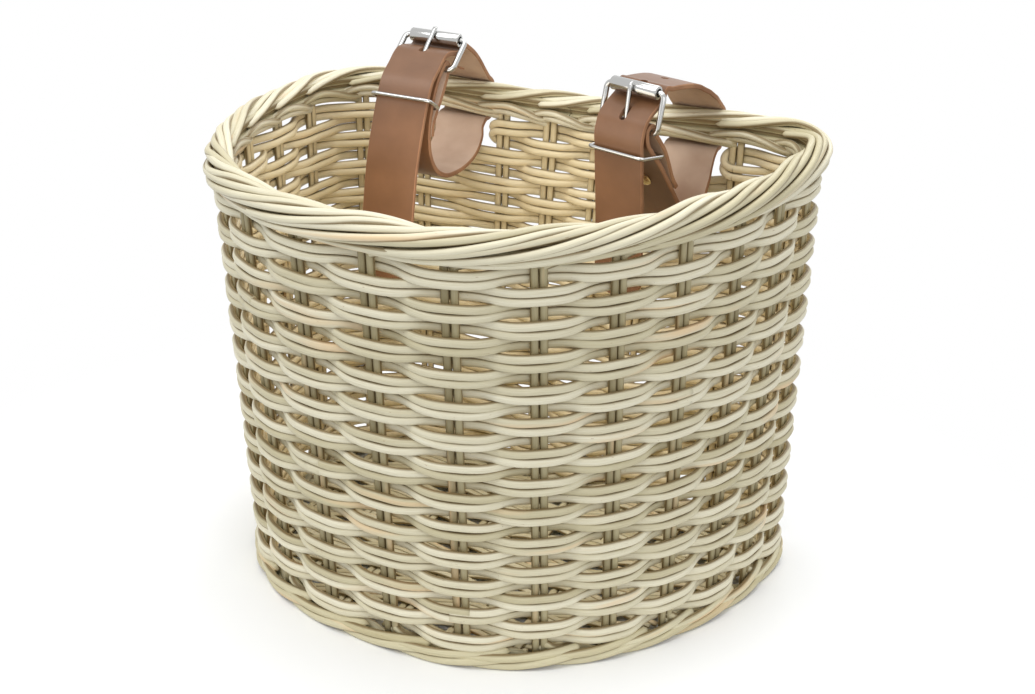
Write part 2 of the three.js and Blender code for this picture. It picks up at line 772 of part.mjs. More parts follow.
function cylinderAlong(centre, direction, radius, length, segments) {
  const geometry = new THREE.CylinderGeometry(radius, radius, length, segments);
  const turn = new THREE.Quaternion().setFromUnitVectors(new THREE.Vector3(0, 1, 0), direction);
  geometry.applyQuaternion(turn);
  geometry.translate(centre.x, centre.y, centre.z);
  return geometry;
}

// Buckle prong in the buckle's own axes: x across, y from the heel bar to the roller, z to the front
function prongGeometry(growth) {
  const eye = wireDiameter / 2 + clearance + prongThickness / 2;
  const overRoller = rollerDiameter / 2 + clearance + prongThickness / 2;
  const route = [];
  const eyeSteps = 8;
  for (let i = 0; i <= eyeSteps; i++) {
    const angle = THREE.MathUtils.degToRad(340 - (250 * i) / eyeSteps);
    route.push([eye * Math.cos(angle), eye * Math.sin(angle)]);
  }
  route.push([buckleLength * 0.45, (eye + overRoller) / 2]);
  route.push([buckleLength, overRoller]);
  route.push([buckleLength + prongTip * 0.6, overRoller - 0.3]);
  route.push([buckleLength + prongTip, overRoller - 1]);
  const across = new THREE.Vector3(1, 0, 0);
  const rings = route.map(([y, z], i) => {
    const before = route[Math.max(i - 1, 0)];
    const after = route[Math.min(i + 1, route.length - 1)];
    const along = new THREE.Vector3(0, after[0] - before[0], after[1] - before[1]).normalize();
    const outward = new THREE.Vector3().crossVectors(across, along);
    const thin = i === route.length - 1 ? 0.6 : 1;
    return flatRing(new THREE.Vector3(0, y, z), across, outward,
      (prongWidth / 2) * thin + growth, (prongThickness / 2) * thin + growth);
  });
  return loft(rings);
}

// Rectangular loop of round wire in the x-y plane
function wireLoop(halfWidth, low, high, corner, radius, sides) {
  const rings = [];
  const corners = [
    [halfWidth - corner, high - corner, 0], [-halfWidth + corner, high - corner, 90],
    [-halfWidth + corner, low + corner, 180], [halfWidth - corner, low + corner, 270],
  ];
  const cornerSections = 4;
  const up = new THREE.Vector3(0, 0, 1);
  for (const [x, y, startDegrees] of corners) {
    for (let i = 0; i < cornerSections; i++) {
      const angle = THREE.MathUtils.degToRad(startDegrees + (90 * i) / (cornerSections - 1));
      const outward = new THREE.Vector3(Math.cos(angle), Math.sin(angle), 0);
      const centre = new THREE.Vector3(x, y, 0).addScaledVector(outward, corner);
      rings.push(ringAt(centre, outward, up, radius, radius, sides));
    }
  }
  return loft(rings, true);
}

function rollerGeometry() {
  const bore = wireDiameter / 2 + clearance;
  const outer = rollerDiameter / 2;
  const half = rollerLength / 2;
  const profile = [
    new THREE.Vector2(bore, -half), new THREE.Vector2(outer, -half),
    new THREE.Vector2(outer, half), new THREE.Vector2(bore, half), new THREE.Vector2(bore, -half),
  ];
  const geometry = new THREE.LatheGeometry(profile, 20);
  geometry.rotateZ(Math.PI / 2);
  return toGeometry(toSolid(geometry));
}

function rivetGeometry(grip, growth) {
  const shank = rivetShankDiameter / 2 + growth;
  const head = rivetHeadDiameter / 2 + growth;
  const seat = grip / 2 - growth;
  const top = grip / 2 + rivetHeadHeight + growth;
  const rim = rivetEdge + 2 * growth;
  const profile = [
    new THREE.Vector2(0, -top), new THREE.Vector2(head * 0.7, -top + 0.15), new THREE.Vector2(head, -seat - rim),
    new THREE.Vector2(head, -seat), new THREE.Vector2(shank, -seat), new THREE.Vector2(shank, seat),
    new THREE.Vector2(head, seat), new THREE.Vector2(head, seat + rim), new THREE.Vector2(head * 0.7, top - 0.15),
    new THREE.Vector2(0, top),
  ];
  return toGeometry(toSolid(new THREE.LatheGeometry(profile, 16)));
}

function addStrap(name, route, centreX, twistDegrees) {
  const frame = strapFrame(centreX, twistDegrees);
  const stations = strapStationsOf(route, frame);
  const across = frame.across(1);
  const { along, front } = buckleAxes(route);
  const toSpace = (v) => frame.forward.clone().multiplyScalar(v.x).setZ(v.y);
  const buckleMatrix = new THREE.Matrix4().makeBasis(across, toSpace(along), toSpace(front));
  buckleMatrix.setPosition(frame.place(route.heel[0], route.heel[1]));

  const last = stations.length - 1;
  const middle = Math.round(last / 2);
  const foldPoint = frame.place(...atBuckle(route, heelRadius, 0));
  const fold = nearestStation(stations, foldPoint, 0, middle);

  // Keeper: its back wire runs between the folded layers, its front wire in front of the tail
  const [keeperBack, keeperFront] = route.keeper.map((point) => frame.place(...point));
  const keeperDirection = keeperFront.clone().sub(keeperBack);
  const keeperDepth = keeperDirection.length();
  keeperDirection.normalize();
  const keeperNormal = new THREE.Vector3().crossVectors(across, keeperDirection);
  const keeperMatrix = new THREE.Matrix4().makeBasis(across, keeperDirection, keeperNormal);
  keeperMatrix.setPosition(keeperBack);

  // Rivet through the cut end and the strap in front of it
  const returnPoint = frame.place(...route.cutEnd[1]);
  const returnStation = stations[nearestStation(stations, returnPoint, 0, fold)];
  const rivetAxis = returnStation.outward.clone();
  const nearIndex = nearestStation(stations, returnStation.centre, fold + 4, middle);
  const layerStep = stations[nearIndex].centre.clone().sub(returnStation.centre);
  if (layerStep.dot(rivetAxis) < 0) rivetAxis.negate();
  const layerDistance = layerStep.dot(rivetAxis);
  const grip = layerDistance + strapThickness + 2 * clearance;
  const rivetCentre = returnStation.centre.clone().addScaledVector(rivetAxis, layerDistance / 2);

  // Leather, with a slot for the prong, the rivet's hole and the row of adjusting holes
  const rings = stations.map((s) => flatRing(s.centre, s.across, s.outward, s.halfWidth, strapThickness / 2));
  let solid = toSolid(loft(rings));
  const prongSlot = new THREE.BoxGeometry(
    prongWidth + 3 * clearance, 2 * heelRadius + slotBeyondFold, 2 * (heelRadius + strapThickness / 2 + clearance));
  prongSlot.translate(0, -slotBeyondFold / 2 + strapThickness / 2, 0);
  solid = solid.subtract(toSolid(prongSlot.applyMatrix4(buckleMatrix)));
  const widestSwing = prongSwing + buckleTilt;
  for (const swing of [0, widestSwing / 2, widestSwing]) {
    const cutter = prongGeometry(1.5 * clearance);
    cutter.applyMatrix4(new THREE.Matrix4().makeRotationX(THREE.MathUtils.degToRad(swing)));
    cutter.applyMatrix4(buckleMatrix);
    solid = solid.subtract(toSolid(cutter));
  }
  const rivetTurn = new THREE.Quaternion().setFromUnitVectors(new THREE.Vector3(0, 1, 0), rivetAxis);
  const placeRivet = (geometry) => geometry.applyQuaternion(rivetTurn)
    .translate(rivetCentre.x, rivetCentre.y, rivetCentre.z);
  solid = solid.subtract(toSolid(placeRivet(rivetGeometry(grip, clearance))));
  const prongHolePoint = frame.place(...atBuckle(route, buckleLength * 0.42, overHeel * 0.45));
  let reached = nearestStation(stations, prongHolePoint, middle, last);
  for (let i = 0; i < arcHoles; i++) {
    let travelled = 0;
    while (travelled < holeSpacing) {
      travelled += stations[reached].centre.distanceTo(stations[reached - 1].centre);
      reached -= 1;
    }
    const hole = cylinderAlong(stations[reached].centre, stations[reached].outward,
      holeDiameter / 2, strapThickness * 3, 8);
    solid = solid.subtract(toSolid(hole));
  }
  addPiece(`${name}_strap`, toGeometry(solid), leather);

  const sideReach = strapWidth / 2 + buckleSideClearance + wireDiameter / 2;
  const buckleFrame = wireLoop(sideReach, 0, buckleLength, buckleCornerRadius, wireDiameter / 2, 8);
  addPiece(`${name}_buckle_frame`, buckleFrame.applyMatrix4(buckleMatrix), steel);
  const roller = rollerGeometry().translate(0, buckleLength, 0);
  addPiece(`${name}_roller`, roller.applyMatrix4(buckleMatrix), steel);
  addPiece(`${name}_prong`, prongGeometry(0).applyMatrix4(buckleMatrix), steel);
  const keeperReach = strapWidth / 2 + buckleSideClearance + keeperWireDiameter / 2;
  const keeper = wireLoop(keeperReach, 0, keeperDepth, keeperCornerRadius, keeperWireDiameter / 2, 6);
  addPiece(`${name}_keeper`, keeper.applyMatrix4(keeperMatrix), steel);
  addPiece(`${name}_rivet`, placeRivet(rivetGeometry(grip, 0)), brass);
}

addStrap('left', leftRoute, leftStrapX, 0);
addStrap('right', rightRoute, rightStrapX, rightStrapTwist);

// The origin is on the ground under the middle of the basket's box
basket.updateMatrixWorld(true);
const box = new THREE.Box3().setFromObject(basket, true);
basket.position.set(-(box.min.x + box.max.x) / 2, -(box.min.y + box.max.y) / 2, -box.min.z);

export default basket;
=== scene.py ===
import math
import random
from collections import namedtuple

import bmesh
import bpy
import numpy as np
from mathutils import Matrix, Vector


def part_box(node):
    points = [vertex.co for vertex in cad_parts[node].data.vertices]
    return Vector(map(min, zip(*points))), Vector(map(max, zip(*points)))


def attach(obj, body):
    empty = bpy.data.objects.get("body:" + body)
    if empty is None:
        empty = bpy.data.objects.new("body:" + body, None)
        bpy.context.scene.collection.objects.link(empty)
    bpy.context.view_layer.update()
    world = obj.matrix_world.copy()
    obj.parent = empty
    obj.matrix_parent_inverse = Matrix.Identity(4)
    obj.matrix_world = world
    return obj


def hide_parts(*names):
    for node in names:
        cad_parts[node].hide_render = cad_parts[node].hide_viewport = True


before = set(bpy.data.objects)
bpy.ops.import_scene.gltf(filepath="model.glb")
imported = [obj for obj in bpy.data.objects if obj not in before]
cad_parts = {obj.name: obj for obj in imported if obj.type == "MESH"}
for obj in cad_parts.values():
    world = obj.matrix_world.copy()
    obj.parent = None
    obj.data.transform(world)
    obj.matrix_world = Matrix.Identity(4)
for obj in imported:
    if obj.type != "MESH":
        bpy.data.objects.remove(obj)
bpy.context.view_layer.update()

# Sizes are in millimetres until a mesh is made, and the drawing starts at the middle of the back
# wall, as the frame's own does. frame_shift() finds where the frame has that point.
MM = 0.001
LOWEST = 0.05
rng = random.Random(7)

CLEARANCE = 0.3
BASKET_WIDTH = 239.0
BASKET_DEPTH = 192.0
WEAVE_HEIGHT = 175.0
FOOT_INSET = {"left": 11.0, "right": -1.5, "front": 22.5, "back": 7.5}
RIM_PLAN = {"left": BASKET_WIDTH / 2, "right": BASKET_WIDTH / 2, "front": BASKET_DEPTH, "back": 0.0}
FOOT_PLAN = {side: RIM_PLAN[side] - inset for side, inset in FOOT_INSET.items()}
FOOT_PLAN["back"] = RIM_PLAN["back"] + FOOT_INSET["back"]
FRONT_APEX_X = 12.4
LEFT_CORNER_RADIUS = 38.0
RIGHT_CORNER_RADIUS = 19.0
LEFT_FRONT_ROUNDNESS = 2.57
RIGHT_FRONT_ROUNDNESS = 1.9
CORNER_STEPS = 12
FRONT_STEPS = 48

# The rim stands a little higher towards the right back corner
CORNER_RISE = 4.0
CORNER_RISE_AT = 90.0
CORNER_RISE_REACH = 55.0

SPIRAL_ROWS = 23
SLOT_ROWS = 2
ROW_PITCH = WEAVE_HEIGHT / (SPIRAL_ROWS + SLOT_ROWS)
FOOT_BORDER_HEIGHT = 8.1
RIM_BORDER_HEIGHT = 15.5
WALL_BOTTOM = FOOT_BORDER_HEIGHT + 2 * CLEARANCE
WALL_TOP = WALL_BOTTOM + WEAVE_HEIGHT
RIM_BOTTOM = WALL_TOP + CLEARANCE
RIM_MIDDLE = RIM_BOTTOM + RIM_BORDER_HEIGHT / 2
RIM_WIDTH = 13.8

UPRIGHT_WIDTH = 7.0
WEAVER_THICKNESS = 3.2
CANE_RADIUS = 1.78
WEAVER_RADIUS = 1.98
STRAND_SPACING = 1.72
STRAND_SPREAD = 0.32
FLATTENED = 0.8
WEAVE_OFFSET = 3.0

STRAP_WIDTH = 25.0
STRAP_THICKNESS = 2.2
LEFT_STRAP_X = -53.8
RIGHT_STRAP_X = 61.0
RIGHT_STRAP_TWIST = -16.0
SLOT_DRIFT = -2.2
STRAP_INSET = 9.0

WIRE = 3.0
BUCKLE_LENGTH = 17.0
ROLLER = 6.0
ROLLER_LENGTH = 24.0
HEEL_RADIUS = WIRE / 2 + CLEARANCE + STRAP_THICKNESS / 2
AT_ROLLER = ROLLER / 2 + 4 * CLEARANCE + STRAP_THICKNESS / 2
OVER_HEEL = HEEL_RADIUS + STRAP_THICKNESS + 2 * CLEARANCE
BESIDE_RIM = RIM_WIDTH / 2 + CLEARANCE + STRAP_THICKNESS / 2
OVER_RIM = RIM_BORDER_HEIGHT / 2 + CLEARANCE + STRAP_THICKNESS / 2
RIM_RISE = RIM_MIDDLE - WALL_TOP
SLOT_RISE = -STRAP_THICKNESS / 2 - 2 * CLEARANCE

# Straps from the side, as in the frame: depth in front of the back wall's inner face, height above
# the weave, and how far the strap has turned from its slot (0) to its buckle (1)
THROUGH = [
    (-5.4, SLOT_RISE - 2.5, 0), (-STRAP_INSET, SLOT_RISE, 0),
    (-STRAP_INSET - BESIDE_RIM * 0.62, SLOT_RISE + 0.6, 0), (-STRAP_INSET - BESIDE_RIM, RIM_RISE - 4.5, 0),
    (-STRAP_INSET - BESIDE_RIM - 0.4, RIM_RISE + 1, 0),
    (-STRAP_INSET - BESIDE_RIM * 0.78, RIM_RISE + OVER_RIM * 0.78, 0),
    (-STRAP_INSET - 2.5, RIM_RISE + OVER_RIM + 0.9, 0),
]
LEFT = {
    "heel": (39.6, 33.3), "roller": (26.0, 43.6),
    "cut_end": [(52, 5.9, 1), (51.4, 11.5, 1), (47.6, 16.9, 1), (43.6, 21.9, 1), (39.9, 27.2, 1)],
    "loop": [(46, 31.5, 1), (50, 25.8, 1), (52.9, 19.3, 1), (54.8, 12.3, 1), (55.2, 5.3, 1), (53.4, -2.7, 1),
             (47.5, -10.9, 1), (38.5, -15.9, 1), (29.5, -17.5, 1), (18.5, -17.5, 1), (9.5, -15.8, 1),
             (3.6, -13, 0.95), (-2.8, SLOT_RISE - 6.6, 0.5)],
    "arc": [(-6, 22.1, 0.35), (-1.2, 25.6, 0.7), (3, 28.9, 0.95), (9, 33.8, 1), (15.6, 37.9, 1)],
    "tail": [(53.2, 30.1, 1), (57.6, 22.3, 1), (61.6, 12.3, 1), (65, 2.3, 1), (67.6, -7.7, 1), (69.5, -19.7, 1),
             (71, -31.7, 1), (71.8, -43.7, 1), (72, -61.7, 1)],
    "keeper": [(50.2, 18.2), (60.2, 24.2)],
}
RIGHT = {
    "heel": (48.2, 22.3), "roller": (44.7, 38.9),
    "cut_end": [(26.4, -6.2, 1), (30, -1.5, 1), (33.2, 5.1, 1), (37.4, 12.5, 1), (42, 17.9, 1)],
    "loop": [(50, 17.6, 1), (45.6, 12.2, 1), (40.2, 6.5, 1), (30.8, -5.5, 1), (21.8, -17.3, 1),
             (13.8, -27.7, 1), (9.6, -32.4, 1), (6, -33, 1), (3.9, -29.9, 1), (3.3, -23.7, 1), (2.4, -16, 0.7),
             (-2.8, SLOT_RISE - 6.6, 0)],
    "arc": [(-4.4, 22.6, 0.2), (0.6, 26.2, 0.5), (7, 31.9, 0.8), (14, 35.9, 0.95), (21.4, 37.8, 1),
            (29.4, 38.7, 1), (35.2, 39.1, 1)],
    "tail": [(53.9, 12.5, 1), (52.6, 0.3, 1), (51.2, -11.7, 1), (49.9, -25.7, 1), (49, -39.7, 1),
             (48.6, -53.7, 1)],
    "keeper": [(40.8, 11.2), (56.7, 13.1)],
}


def buckle_axes(route):
    """Heel bar, direction from it to the roller, and direction to the front, seen from the side."""
    heel, roller = np.array(route["heel"]), np.array(route["roller"])
    along = (roller - heel) / np.linalg.norm(roller - heel)
    return heel, along, np.array([along[1], -along[0]])


def frame_shift():
    """From the drawing's origin to the frame's, by the left roller, whose strap isn't turned."""
    low, high = (np.array(corner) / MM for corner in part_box("left_roller"))
    heel, along, _ = buckle_axes(LEFT)
    depth, rise = heel + BUCKLE_LENGTH * along
    return (low + high) / 2 - np.array([LEFT_STRAP_X, -STRAP_INSET - depth, WALL_TOP + rise])


SHIFT = frame_shift()


# Curves

def unit(vectors):
    return vectors / np.maximum(np.linalg.norm(vectors, axis=-1, keepdims=True), 1e-6)


def lengths_along(points):
    return np.concatenate([[0], np.cumsum(np.linalg.norm(np.diff(points, axis=0), axis=1))])


def ease(share):
    share = np.clip(share, 0, 1)
    return share * share * (3 - 2 * share)


def hermite(s, start, leaving, end, arriving):
    """Cubic from start to end, with its slopes at both."""
    return ((1 + 2 * s) * (1 - s) ** 2 * start + s * (1 - s) ** 2 * leaving
            + s * s * (3 - 2 * s) * end + s * s * (s - 1) * arriving)


def smooth_through(x, y, at):
    """Cubic through points, with slopes taken from the neighbours."""
    slope = np.gradient(y, x)
    i = np.clip(np.searchsorted(x, at) - 1, 0, len(x) - 2)
    h = x[i + 1] - x[i]
    return hermite((at - x[i]) / h, y[i], h * slope[i], y[i + 1], h * slope[i + 1])


def centripetal(points, per_span):
    """Centripetal Catmull-Rom curve through the points."""
    p = np.vstack([2 * points[0] - points[1], points, 2 * points[-1] - points[-2]])
    out = []
    for i in range(1, len(p) - 2):
        p0, p1, p2, p3 = p[i - 1:i + 3]
        d = [max(np.linalg.norm(b[:2] - a[:2]) ** 0.5, 1e-4) for a, b in ((p0, p1), (p1, p2), (p2, p3))]
        m1 = ((p1 - p0) / d[0] - (p2 - p0) / (d[0] + d[1]) + (p2 - p1) / d[1]) * d[1]
        m2 = ((p2 - p1) / d[1] - (p3 - p1) / (d[1] + d[2]) + (p3 - p2) / d[2]) * d[1]
        out += [hermite(s, p1, m1, p2, m2) for s in np.arange(per_span) / per_span]
    out.append(points[-1])
    return np.array(out)


def wander(positions, amount, seed):
    """A slow sway along a cane, as the sum of four waves."""
    local = random.Random(seed)
    out = np.zeros_like(positions)
    for _ in range(4):
        out += np.sin(positions * local.uniform(0.7, 3.1) + local.uniform(0, 6.3))
    return out * amount / 2


# Plan of the basket

def half_outline(plan, side, sign, corner, roundness):
    """From the back wall round one corner to the foremost point of the front."""
    back, reach, apex = -plan["back"], plan[side], sign * FRONT_APEX_X
    points = []
    for i in range(CORNER_STEPS):
        a = math.pi / 2 * i / CORNER_STEPS
        points.append((sign * (reach - corner * (1 - math.sin(a))), back - corner * (1 - math.cos(a))))
    for i in range(FRONT_STEPS + 1):
        a = math.pi / 2 * i / FRONT_STEPS
        share, drop = (max(v, 0) ** (2 / roundness) for v in (math.cos(a), math.sin(a)))
        points.append((sign * (apex + (reach - apex) * share), back - corner - (plan["front"] + back - corner) * drop))
    return points


def outline(plan):
    start = [(0.0, -plan["back"])]
    right = half_outline(plan, "right", 1, RIGHT_CORNER_RADIUS, RIGHT_FRONT_ROUNDNESS)
    left = half_outline(plan, "left", -1, LEFT_CORNER_RADIUS, LEFT_FRONT_ROUNDNESS)
    return np.array(start + right + left[-2::-1] + start)


RIM_OUTLINE = outline(RIM_PLAN)
FOOT_OUTLINE = outline(FOOT_PLAN)
LENGTHS = lengths_along(RIM_OUTLINE)
PERIMETER = LENGTHS[-1]
APEX_DISTANCE = LENGTHS[1 + CORNER_STEPS + FRONT_STEPS]


def plan_points(distance, height):
    s = np.mod(distance, PERIMETER)
    share = np.asarray(height) / WALL_TOP
    out = []
    for axis in (0, 1):
        rim = np.interp(s, LENGTHS, RIM_OUTLINE[:, axis])
        foot = np.interp(s, LENGTHS, FOOT_OUTLINE[:, axis])
        out.append(foot + (rim - foot) * share)
    return np.stack(out, axis=-1)


def corner_rise(distance):
    """How far the rim stands higher towards the right back corner."""
    s = np.mod(np.asarray(distance) + PERIMETER / 2, PERIMETER) - PERIMETER / 2
    return CORNER_RISE * np.exp(-((s - CORNER_RISE_AT) / CORNER_RISE_REACH) ** 2)


WallFrames = namedtuple("WallFrames", "centre along level up outward")


def wall_frames(distance, height):
    """The middle of the leaning wall at each place, and directions along it, level, up and outward."""
    beside, above = 3.0, 20.0
    distance, height = np.broadcast_arrays(np.asarray(distance, float), np.asarray(height, float))
    here = plan_points(distance, height)
    lean = (plan_points(distance, height + above) - here) / above
    heading = unit(plan_points(distance + beside, height) - plan_points(distance - beside, height))
    zero = np.zeros_like(distance)
    along = np.stack([heading[..., 0], heading[..., 1], zero], axis=-1)
    level = np.stack([-heading[..., 1], heading[..., 0], zero], axis=-1)
    up = level * np.sum(lean * level[..., :2], axis=-1, keepdims=True)
    up[..., 2] = 1.0
    up = unit(up)
    risen = height + corner_rise(distance) * height / WALL_TOP
    centre = np.concatenate([here, risen[..., None]], axis=-1)
    return WallFrames(centre, along, level, up, np.cross(up, along))


def beside_wall(wall, outward, upward):
    """The wall's middle, moved outward and upward by distances."""
    return wall.centre + wall.outward * np.asarray(outward)[..., None] + wall.up * np.asarray(upward)[..., None]


# Places of the upright pairs, as in the frame

def spread(first, last, count):
    return [first + (last - first) * i / (count + 1) for i in range(1, count + 1)]


def strap_bay(strap_x):
    """From the last upright before a strap to the first one after it."""
    wrap_reach = UPRIGHT_WIDTH / 2 + CLEARANCE + WEAVER_THICKNESS * 1.5
    half = STRAP_WIDTH / 2 + wrap_reach + CLEARANCE
    return strap_x + SLOT_DRIFT - half, strap_x + SLOT_DRIFT + half


FRONT_UPRIGHTS = 11
FRONT_SPACING = 33.4
FRONT_CENTRE_OFFSET = 50.8
RIGHT_CORNER_UPRIGHTS = 1
LEFT_SIDE_UPRIGHTS = 5
BACK_MIDDLE_UPRIGHTS = 2

RIGHT_BAY = strap_bay(RIGHT_STRAP_X)
LEFT_BAY = [PERIMETER + side for side in strap_bay(LEFT_STRAP_X)]
FRONT_PLACES = [APEX_DISTANCE - FRONT_CENTRE_OFFSET + (i - FRONT_UPRIGHTS // 2) * FRONT_SPACING
                for i in range(FRONT_UPRIGHTS)]
PLACES = [RIGHT_BAY[1]]
PLACES += spread(RIGHT_BAY[1], FRONT_PLACES[0], RIGHT_CORNER_UPRIGHTS)
PLACES += FRONT_PLACES
PLACES += spread(FRONT_PLACES[-1], LEFT_BAY[0], LEFT_SIDE_UPRIGHTS)
PLACES += LEFT_BAY
PLACES += spread(LEFT_BAY[1], PERIMETER + RIGHT_BAY[0], BACK_MIDDLE_UPRIGHTS)
PLACES += [PERIMETER + RIGHT_BAY[0]]
COUNT = len(PLACES)
PLACES_ROUND = PLACES + [PLACES[0] + PERIMETER]
FRONT_END = PLACES.index(LEFT_BAY[0])


def place_at(index):
    """Distance round the rim at a fractional upright index."""
    turns = np.floor(np.asarray(index) / COUNT)
    return np.interp(np.asarray(index) - turns * COUNT, range(COUNT + 1), PLACES_ROUND) + turns * PERIMETER


def row_height(row):
    return WALL_BOTTOM + ROW_PITCH * (row + 0.5)


# Meshes

def ring_shares(sides, squareness=1.0):
    """Shares of a ring's two half sizes at its points. A ring is squarer the lower squareness is."""
    angle = 2 * np.pi * np.arange(sides) / sides
    return [np.copysign(np.abs(v) ** squareness, v) for v in (np.cos(angle), np.sin(angle))]


def rings(first, second, sides, squareness=1.0):
    """From each place of a path to the points round it, by its half sizes in two directions."""
    one, other = ring_shares(sides, squareness)
    return first[:, None] * one[:, None] + second[:, None] * other[:, None]


def ring_faces(count, sides, base=0, looped=False, capped=True):
    """Quads between rings of points. A loop joins its last ring to its first and has no caps."""
    faces = []
    for i in range(count if looped else count - 1):
        here, after = base + i * sides, base + (i + 1) % count * sides
        for j in range(sides):
            k = (j + 1) % sides
            faces.append((here + j, here + k, after + k, after + j))
    if capped and not looped:
        last = base + (count - 1) * sides
        faces += [tuple(reversed(range(base, base + sides))), tuple(range(last, last + sides))]
    return faces


def tube(path, first, second, sides, looped=False, squareness=1.0):
    verts = path[:, None] + rings(first, second, sides, squareness)
    return verts.reshape(-1, 3), ring_faces(len(path), sides, looped=looped)


def lathe(profile, sides, looped=False):
    """A solid round the x axis, from pairs of place along it and radius."""
    along, radius = np.array(profile).T
    x, y, z = np.eye(3)
    return tube(np.outer(along, x), np.outer(radius, y), np.outer(radius, z), sides, looped)


def square_to(axis):
    """The axis and two directions at right angles to it."""
    first = unit(np.cross(axis, [0.3, 0.5, 0.8]))
    return [axis, first, np.cross(axis, first)]


def new_object(name, verts, faces, materials, indices=None, face_out=True):
    """A smooth mesh in the scene, from points of the drawing. Nothing reaches below the floor."""
    verts = (np.asarray(verts) + SHIFT) * MM
    verts[:, 2] = np.maximum(verts[:, 2], LOWEST * MM)
    mesh = bpy.data.meshes.new(name)
    mesh.from_pydata(verts.tolist(), [], faces)
    for material in materials:
        mesh.materials.append(material)
    if indices is not None:
        mesh.polygons.foreach_set("material_index", indices)
    mesh.update()
    if face_out:
        work = bmesh.new()
        work.from_mesh(mesh)
        bmesh.ops.recalc_face_normals(work, faces=work.faces)
        work.to_mesh(mesh)
        work.free()
    mesh.shade_smooth()
    obj = bpy.data.objects.new(name, mesh)
    bpy.context.scene.collection.objects.link(obj)
    return obj


def dress(obj, body, node):
    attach(obj, body)
    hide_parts(node)


class Canes:
    """Collects round canes into one mesh, with the values that the cane material reads."""

    def __init__(self, sides=10):
        self.sides = sides
        self.total = 0
        self.verts, self.faces = [], []
        self.values = {name: [] for name in ("cane_place", "cane_tone", "cane_painted_shade", "cane_painted_bounce")}

    def add(self, points, radius, beside, flatten=None, *, tone, inward=None, capped=True, taper=0.0):
        """beside is the direction in which the next cane lies, where painted shade darkens it. flatten
        is a direction and a share. The side that faces inward gets a painted warm tint, which stands in
        for light bounced round within the basket."""
        n, sides = len(points), self.sides
        length = lengths_along(points)
        radius = np.broadcast_to(np.asarray(radius, float), (n,)).copy()
        if taper:
            ends = np.clip(np.minimum(length, length[-1] - length) / taper, 0, 1)
            radius *= np.sqrt(np.clip(1 - (1 - ends) ** 2, 0.08, 1))
        tangent = unit(np.gradient(points, axis=0))
        normals = [unit(np.cross(tangent[0], [0.1, 0.2, 1.0]))]
        for direction in tangent[1:]:
            normals.append(unit(normals[-1] - direction * np.dot(normals[-1], direction)))
        normals = np.array(normals)
        radial = rings(normals, np.cross(tangent, normals), sides)
        shift = radius[:, None, None] * radial
        if flatten is not None:
            direction = np.broadcast_to(flatten[0], points.shape)[:, None]
            shift = shift + direction * np.sum(shift * direction, axis=-1, keepdims=True) * (flatten[1] - 1)
        self.verts.append((points[:, None] + shift).reshape(-1, 3))
        self.faces += ring_faces(n, sides, self.total, capped=capped)
        self.total += n * sides

        seed = rng.random() * 100
        cosine, sine = ring_shares(sides)
        place = [np.repeat(length, sides) * 0.01 + seed, np.tile(sine, n) * 0.5 + 0.5,
                 np.tile(cosine, n) * 0.5 + seed]
        # painted shade, on the side towards the next cane
        groove = np.abs(np.sum(radial * np.broadcast_to(beside, points.shape)[:, None], axis=-1))
        # painted warm light, on the side that faces inward
        inside = np.zeros_like(groove)
        if inward is not None:
            inside = np.clip(2 * np.sum(radial * inward[:, None], axis=-1), 0, 1)
        self.values["cane_place"].append(np.stack(place, axis=-1))
        self.values["cane_tone"].append(np.full(n * sides, tone))
        self.values["cane_painted_shade"].append(groove)
        self.values["cane_painted_bounce"].append(inside)

    def build(self, name, material, node):
        obj = new_object(name, np.concatenate(self.verts), self.faces, [material], face_out=False)
        for layer, values in self.values.items():
            kind, field = ("FLOAT_VECTOR", "vector") if layer == "cane_place" else ("FLOAT", "value")
            numbers = np.concatenate([value.ravel() for value in values]).astype(np.float32)
            obj.data.attributes.new(layer, kind, "POINT").data.foreach_set(field, numbers)
        dress(obj, "basket", node)


# Materials

def srgb(*levels):
    """Linear colour from levels of 0 to 255."""
    shares = [level / 255 for level in levels]
    return (*(v / 12.92 if v <= 0.04045 else ((v + 0.055) / 1.055) ** 2.4 for v in shares), 1.0)


def grey(level):
    return (level, level, level, 1)


def set_inputs(node, inputs):
    """Gives a node's inputs, by name or place, a value or another node's output."""
    for key, value in inputs.items():
        if isinstance(value, bpy.types.NodeSocket):
            node.id_data.links.new(value, node.inputs[key])
        else:
            node.inputs[key].default_value = value


def add_node(tree, kind, inputs, **settings):
    """Adds a shader node and returns its outputs."""
    node = tree.nodes.new("ShaderNode" + kind)
    for name, value in settings.items():
        setattr(node, name, value)
    set_inputs(node, inputs)
    return node.outputs


def new_material(name):
    material = bpy.data.materials.new(name)
    material.use_nodes = True
    tree = material.node_tree
    return material, tree, tree.nodes["Principled BSDF"]


def ramp(tree, share, stops):
    """The colour at a share, between stops of position and colour."""
    node = tree.nodes.new("ShaderNodeValToRGB")
    elements = node.color_ramp.elements
    while len(elements) > 1:
        elements.remove(elements[-1])
    elements[0].position, elements[0].color = stops[0]
    for position, colour in stops[1:]:
        elements.new(position).color = colour
    tree.links.new(share, node.inputs["Fac"])
    return node.outputs["Color"]


def noise(tree, vector, scale, detail):
    return add_node(tree, "TexNoise", {"Vector": vector, "Scale": scale, "Detail": detail})["Fac"]


def bump(tree, height, strength, distance):
    return add_node(tree, "Bump", {"Height": height, "Strength": strength, "Distance": distance})["Normal"]


def mix(tree, share, first, second, blend="MIX"):
    return add_node(tree, "Mix", {0: share, 6: first, 7: second}, data_type="RGBA", blend_type=blend)[2]


def attribute(tree, name, output="Fac"):
    return add_node(tree, "Attribute", {}, attribute_name=name)[output]


